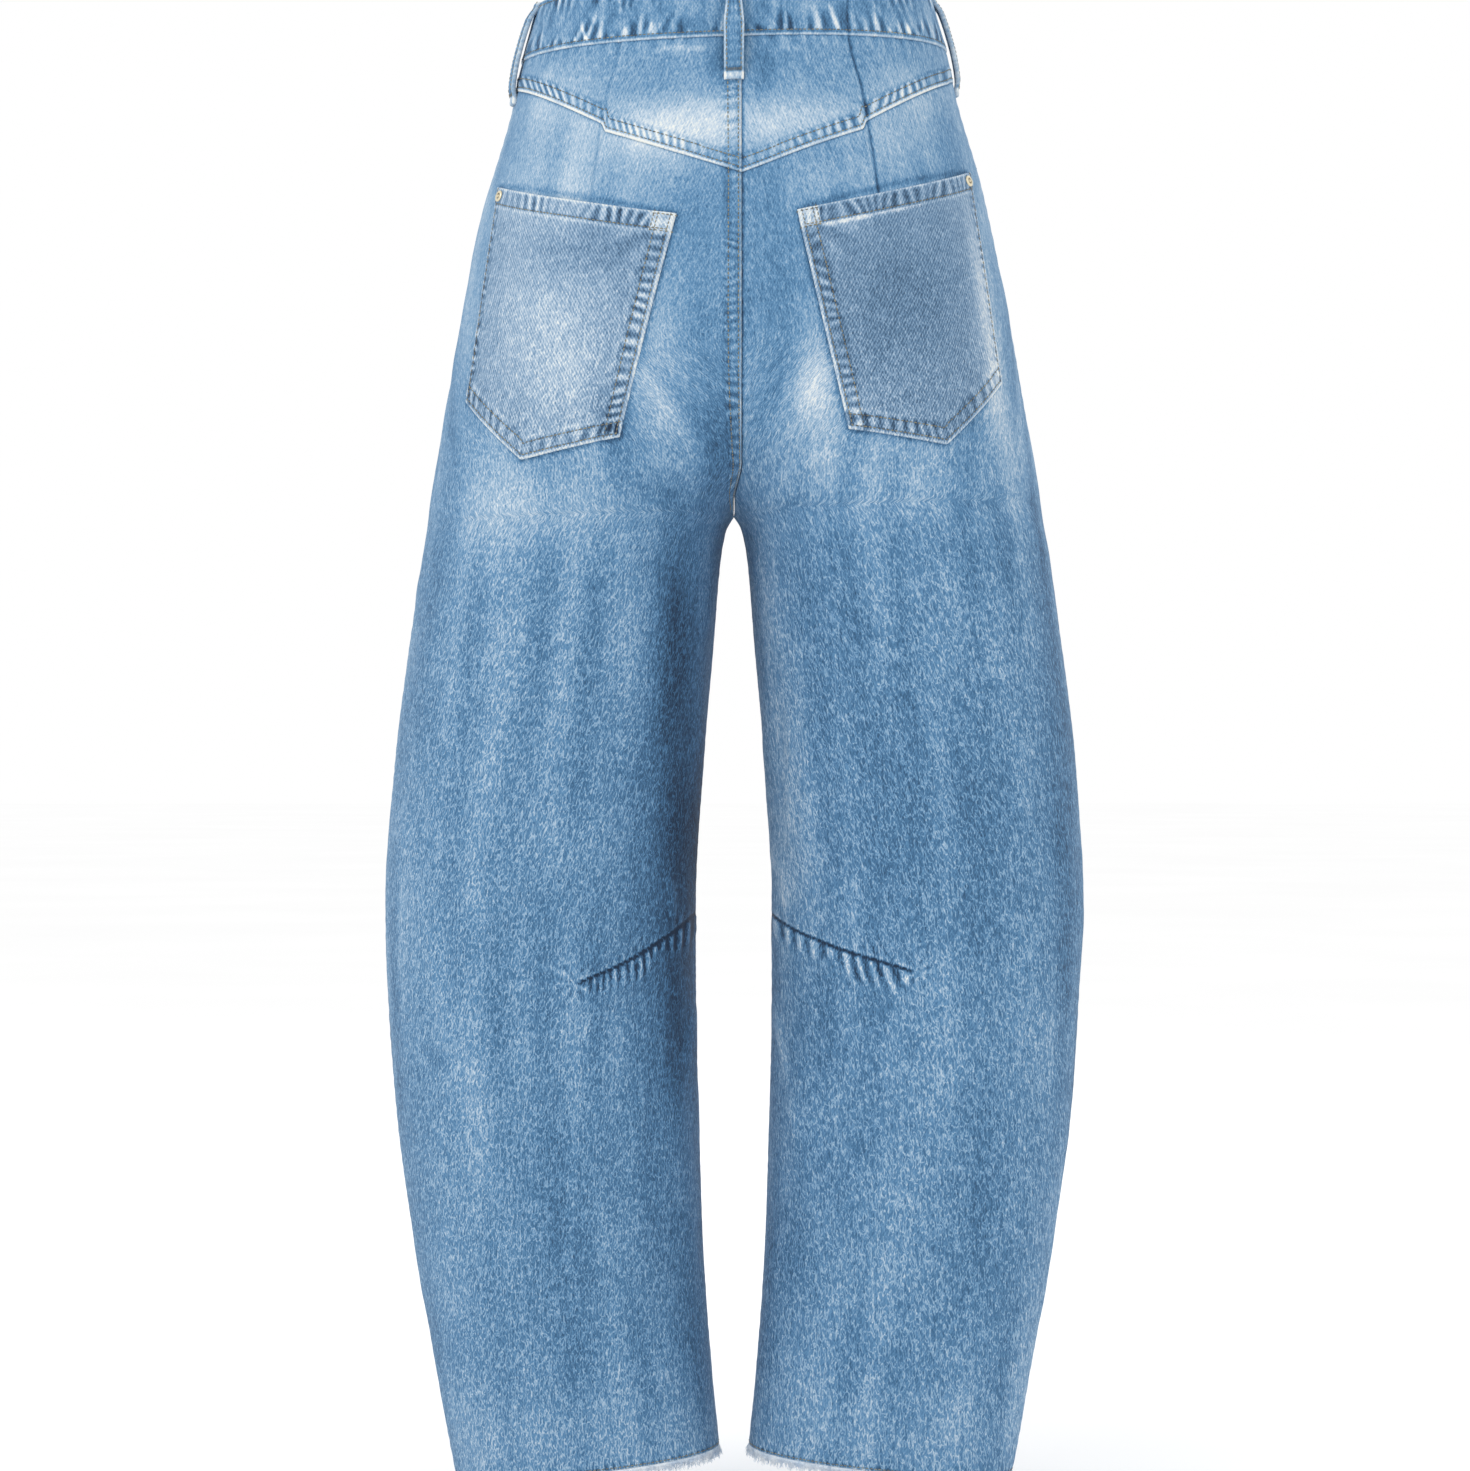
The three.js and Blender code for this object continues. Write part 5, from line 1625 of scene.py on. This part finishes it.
@dataclass
class BackPocket(SidePiece):
    """One patch back pocket: hemmed, topstitched and tacked at its inner top corner."""

    hem: float = 12.0
    inner_rows: tuple[float, float] = (3.2, 11.0)
    outer_row: float = 3.4
    foot_rows: tuple[float, float] = (3.2, 10.8)

    def place(self, across: Array, down: Array) -> tuple[Array, Array]:
        """Girth and height at a share across and a share down the pocket."""
        corner = {name: (SKIN.girth_at_reach(x, z), z) for name, (x, z) in POCKET_CORNERS.items()}

        def edge(first: str, last: str, share: Array) -> tuple[Array, Array]:
            """Reach and height between two corners."""
            (g0, z0), (g1, z1) = corner[first], corner[last]
            z = z0 + (z1 - z0) * share
            return SKIN.point(1, g0 + (g1 - g0) * share, z)[..., 0], z

        top_x, top_z = edge("top_outer", "top_inner", across)
        out_x, out_z = edge("bottom_outer", "tip", np.minimum(1, across / POCKET_TIP_SHARE))
        rest = np.clip((across - POCKET_TIP_SHARE) / (1 - POCKET_TIP_SHARE), 0, 1)
        in_x, in_z = edge("tip", "bottom_inner", rest)
        low_x = np.where(across <= POCKET_TIP_SHARE, out_x, in_x)
        low_z = np.where(across <= POCKET_TIP_SHARE, out_z, in_z)
        z = top_z + (low_z - top_z) * down
        return SKIN.girth_at_reach(top_x + (low_x - top_x) * down, z), z

    def build(self, shop: Workshop) -> None:
        """Makes the pocket with its stitching."""
        seed = 500 + self.sign
        across, down = graded(135, 0.9, 1.5, 15), graded(160, 0.9, 1.5, 15)
        girth, z = self.place(across[None, :] + 0 * down[:, None], down[:, None] + 0 * across[None, :])
        patch = Patch(self.sign, girth, z, felled=True, parted=False)
        cloth = Cloth(f"denim_pocket_{self.word}", patch, POCKET_CLOTH, POCKET_LIFT + POCKET_CLOTH)
        cloth.rumple(0.75, 44, seed)
        cloth.wash()
        cloth.tone += 0.02 if self.left else -0.04
        top, foot = patch.level_off(patch.from_top, 0), patch.level_off(patch.from_foot, -1)
        outer, inner = patch.from_first, patch.from_last
        edge = SewnEdge(self.hem, 0.5, (self.hem - 0.4,), 7.5, 0.24, seed + 3, 0.9, 1.0, 1.0)
        edge.press(cloth, top, inner)
        folds = np.clip(ladder(inner, 13, seed + 6), 0, 1)
        cloth.tone -= 0.5 * bell(top - 5, 3.5) * folds * smooth(20, 40, outer)
        cloth.tone += 0.7 * bell(top - self.hem - 1.6, 1.1)
        cloth.tone += bell(foot - 13.4, 1.5) * (0.35 + 0.5 * wander(outer, 12, seed + 23))
        SewnEdge(11.8, 0.3, self.inner_rows, 7.5, 0.2, seed + 9, 1.1, 0.95).press(cloth, inner, patch.z)
        SewnEdge(6.0, 0.3, (self.outer_row,), 7.0, 0.24, seed + 13, 1.2, 1.2).press(cloth, outer, patch.z)
        SewnEdge(11.6, 0.3, self.foot_rows, 8.0, 0.22, seed + 17, 1.1, 0.8).press(cloth, foot, outer)
        for rim in (top, foot, outer, inner):
            cloth.relief -= 0.6 * bell(rim, 0.8)
        if not self.left:
            rubbed = smooth(14, 20, inner) * smooth(76, 66, inner) * bell(top - self.hem - 2.4, 1.5)
            cloth.tone += 1.3 * rubbed * (0.75 + 0.5 * wander(inner, 5, seed + 21))
        tack = smooth(15.2, 14.2, inner) * smooth(13.2, 12.4, top)
        cloth.tone += tack * (1.15 - cloth.tone * 0.7)
        drag = np.cos(11 * np.arctan2(top, inner) + 0.6) * bell(np.hypot(top, inner) - 30, 16)
        cloth.mark(drag * smooth(12, 16, top), 0.35, 0.22)
        trims = [self.stitch(cloth, top, foot, outer, inner, shop)]
        if not self.left:
            line = trimmed(cloth.contour(top, self.hem + 1.6, along="across"), 60, 18)
            trims.append(shop.wear("rubbed_pocket_fuzz", [line], 2.6, 0.35, 9))
        shop.dress(cloth, f"back_pocket_{self.word}", "denim_pocket")

    def stitch(
        self, cloth: Cloth, top: Array, foot: Array, outer: Array, inner: Array, shop: Workshop
    ) -> Object:
        """Sews the pocket's rows and the box tack at its inner top corner."""
        rows = [trimmed(cloth.contour(top, self.hem - 0.4, along="across"), 4, 4)]
        rows += [trimmed(cloth.contour(inner, d), 1.5, 3) for d in self.inner_rows]
        rows += [trimmed(cloth.contour(outer, self.outer_row), 1.5, 3)]
        rows += [trimmed(cloth.contour(foot, d, along="across"), 3.4, 3.2) for d in self.foot_rows]
        rows += [cloth.contour(top, d, np.nonzero(inner[0] < 14)[0], "across") for d in (1.8, 13.0)]
        rows += [cloth.contour(inner, 13.6, np.nonzero(top[:, -1] < 13)[0])]
        return shop.sew(f"back_pocket_stitching_{self.word}", rows)


@dataclass
class FrayedHem(SidePiece):
    """Raw edge below a leg's stay stitching: a thin ragged strip and its loose thread ends."""

    columns: int = 400
    strand_pitch: float = 0.42

    def build(self, shop: Workshop) -> None:
        """Makes the strip and the thread ends."""
        girth = -1 + 2 * np.arange(self.columns) / self.columns
        seam = stay_height(self.sign, girth)
        place = np.arange(self.columns, dtype=float)
        rag = 0.62 * FRAY_LENGTH * (1 + 0.3 * wander(place, 2.2, 31) + 0.2 * wander(place, 9, 32))
        z = seam[None, :] - 0.15 - (rag[None, :] - 0.15) * np.linspace(0, 1, 7)[:, None]
        patch = Patch(self.sign, girth[None, :], z, ring=True)
        cloth = Cloth(f"frayed_edge_{self.word}", patch, FRAY_CLOTH, -FRAY_SUNK, step=2)
        cloth.relief += 0.12 * mottle(place[None, :] + 0 * z, z, 3, 33)
        made = cloth.build()
        made.data.materials.append(shop.fray)
        stand_for(made, f"raw_hem_{self.word}")
        lines = []
        for depth, lift in ((0.2, -0.25), (1.6, 0.05)):
            edge = patch.skin[0] + patch.normal[0] * (lift + patch.fold[0])[..., None]
            edge[..., 2] -= depth
            edge = SKIN.hang(edge) * MM
            lines.append(np.vstack([edge, edge[:1]]))
        ends = shop.wear(f"hem_thread_ends_{self.word}", lines, FRAY_LENGTH + 1.2, self.strand_pitch, 5)
        LOG.info("frayed hem %s: %d faces of thread", self.word, len(ends.data.polygons))


@dataclass(frozen=True)
class TurnedMetal:
    """Round metal trim turned about the cloth's normal."""

    radius: float
    height: float
    # Share of the radius, share of the height, and how brightly worn
    profile: tuple[tuple[float, float, float], ...]
    sides: int = 40

    def build(self, name: str, node: str, place: tuple[Array, Array], shop: Workshop) -> None:
        """Turns the trim on a point and direction given in millimetres."""
        point, normal = place
        first = np.cross(normal, (0, 0, 1.0))
        first /= np.linalg.norm(first)
        second = np.cross(normal, first)
        angle = 2 * math.pi * np.arange(self.sides) / self.sides
        ring = np.cos(angle)[:, None] * first + np.sin(angle)[:, None] * second
        rows = [
            point + normal * self.height * h + ring * self.radius * max(r, 1e-3) for r, h, _ in self.profile
        ]
        count, sides = len(rows), self.sides
        steps = [(i * sides, j, (j + 1) % sides) for i in range(count - 1) for j in range(sides)]
        faces = [(i + j, i + k, i + sides + k, i + sides + j) for i, j, k in steps]
        faces += [tuple(range(sides))[::-1], tuple((count - 1) * sides + j for j in range(sides))]
        mesh = bpy.data.meshes.new(name)
        mesh.from_pydata((SKIN.hang(np.vstack(rows)) * MM).tolist(), [], faces)
        worn = np.repeat([w for *_, w in self.profile], sides).astype(np.float32)
        mesh.attributes.new("worn", "FLOAT", "POINT").data.foreach_set("value", worn)
        mesh.shade_smooth()
        mesh.materials.append(shop.brass)
        stand_for(placed(name, mesh), node)
        LOG.info("%s: turned, %d faces", name, len(faces))


RIVET = TurnedMetal(
    4.0,
    1.6,
    ((0, 0, 0), (0.96, 0, 0.1), (1, 0.3, 0.5), (0.93, 0.62, 0.7), (0.74, 0.92, 0.9), (0.56, 0.8, 0.6),
     (0.48, 0.5, 0.1), (0.34, 0.5, 0.1), (0.22, 0.85, 0.5), (0.1, 1, 0.8), (0, 1, 0.8)),
)
BUTTON = TurnedMetal(
    8.5,
    3.4,
    ((0, 0, 0), (0.9, 0, 0.1), (1, 0.2, 0.4), (0.98, 0.5, 0.7), (0.9, 0.74, 0.9), (0.8, 0.78, 0.7),
     (0.74, 0.62, 0.2), (0.66, 0.64, 0.3), (0.4, 0.9, 0.7), (0.16, 1, 0.9), (0, 1, 0.9)),
)


@dataclass
class MetalTrim:
    """The back pockets' rivets and the waist button."""

    inset: float = 6.0
    button_reach: float = 4.0

    def build(self, shop: Workshop) -> None:
        """Sets every piece of metal on the cloth it is fixed through."""
        (xo, zo), (xi, zi) = POCKET_CORNERS["top_outer"], POCKET_CORNERS["top_inner"]
        across = self.inset / math.hypot(xo - xi, zo - zi)
        down = self.inset / (zo - POCKET_CORNERS["bottom_outer"][1])
        for side in Side:
            pocket = BackPocket(side)
            girth, z = pocket.place(np.array(across), np.array(down))
            place = self.seat(pocket.sign, girth, z, POCKET_LIFT + POCKET_CLOTH + SEAM_GAP)
            RIVET.build(f"brass_rivet_{pocket.word}", f"pocket_rivet_{pocket.word}", place, shop)
        girth = 1 - SKIN.girth_at_reach(np.array(self.button_reach), np.array(0.0))
        side, half = waist_place(girth)
        place = self.seat(int(side), half, np.array(0.0), BAND_PROUD + SEAM_GAP)
        BUTTON.build("brass_button", "waist_button", place, shop)

    def seat(self, side: int, girth: Array, z: Array, lift: float) -> tuple[Array, Array]:
        """Point and outward direction at a lift over the folded skin."""
        point = SKIN.point(side, girth, z)
        normal = SKIN.normal(side, point)
        return point + normal * (lift + SKIN.folds(side, girth, point)), normal


@dataclass
class Studio:
    """Pale floor, soft light and the camera at the picture's angle."""

    camera_x: float = -0.00069
    camera_y: float = 2.8
    camera_z: float = -0.4854
    lens: float = 99.31
    floor_z: float = -1.03
    floor_reach: float = 30.0
    aim_z: float = -0.45

    def build(self) -> None:
        """Makes the floor, the lights and the camera."""
        self.floor()
        self.light("key", (1.9, 2.3, 1.7), 1.8, 27)
        self.light("fill", (-2.6, 2.0, 0.2), 2.4, 4)
        self.light("front", (-1.2, -3.0, 1.4), 2.2, 18)
        scene, world = bpy.context.scene, bpy.data.worlds.new("soft_room")
        world.use_nodes = True
        world.node_tree.nodes["Background"].inputs["Color"].default_value = (1, 1, 1, 1)
        world.node_tree.nodes["Background"].inputs["Strength"].default_value = 1.0
        scene.world = world
        scene.view_settings.view_transform = "Standard"
        camera = placed("camera", bpy.data.cameras.new("camera"))
        camera.location = (self.camera_x, self.camera_y, self.camera_z)
        camera.rotation_euler = (math.pi / 2, 0, math.pi)
        camera.data.lens, camera.data.sensor_width = self.lens, 36
        scene.camera = camera

    def floor(self) -> None:
        """Makes the floor of matt painted board."""
        mesh = bpy.data.meshes.new("floor")
        s, z = self.floor_reach, self.floor_z
        mesh.from_pydata([(-s, -s, z), (s, -s, z), (s, s, z), (-s, s, z)], [], [(0, 1, 2, 3)])
        material, add = new_material("painted_floor")
        place = add("ShaderNodeTexCoord").outputs["Object"]
        noise = add("ShaderNodeTexNoise", {"Vector": place, "Scale": 1.5, "Detail": 2.0})
        colour = add("ShaderNodeValToRGB", {"Fac": noise}, stops=((0.3, "#fdfdfd"), (0.7, "#ffffff")))
        look = {"Base Color": colour, "Roughness": 1.0, "Specular IOR Level": 0.0}
        add("ShaderNodeOutputMaterial", {"Surface": add("ShaderNodeBsdfPrincipled", look)})
        mesh.materials.append(material)
        placed("floor", mesh)

    def light(self, name: str, place: tuple[float, float, float], size: float, power: float) -> None:
        """Hangs a large soft light aimed at the jeans."""
        lamp = bpy.data.lights.new(name, "AREA")
        lamp.shape, lamp.size, lamp.energy = "DISK", size, power
        made = placed(name, lamp)
        made.location = place
        toward = Vector((0, 0, self.aim_z)) - made.location
        made.rotation_euler = toward.to_track_quat("-Z", "Y").to_euler()


def main() -> None:
    """Builds every piece in order, then the studio."""
    shop = Workshop()
    Waistband().build(shop)
    BeltLoops().build(shop)
    for side in Side:
        BackYoke(side).build(shop)
        BackLeg(side).build(shop)
        BackPocket(side).build(shop)
        FrontLeg(side).build(shop)
        PocketFacing(side).build(shop)
        FrayedHem(side).build(shop)
    MetalTrim().build(shop)
    Studio().build()


if __name__ == "__main__":
    logging.basicConfig(level=logging.INFO)
    main()
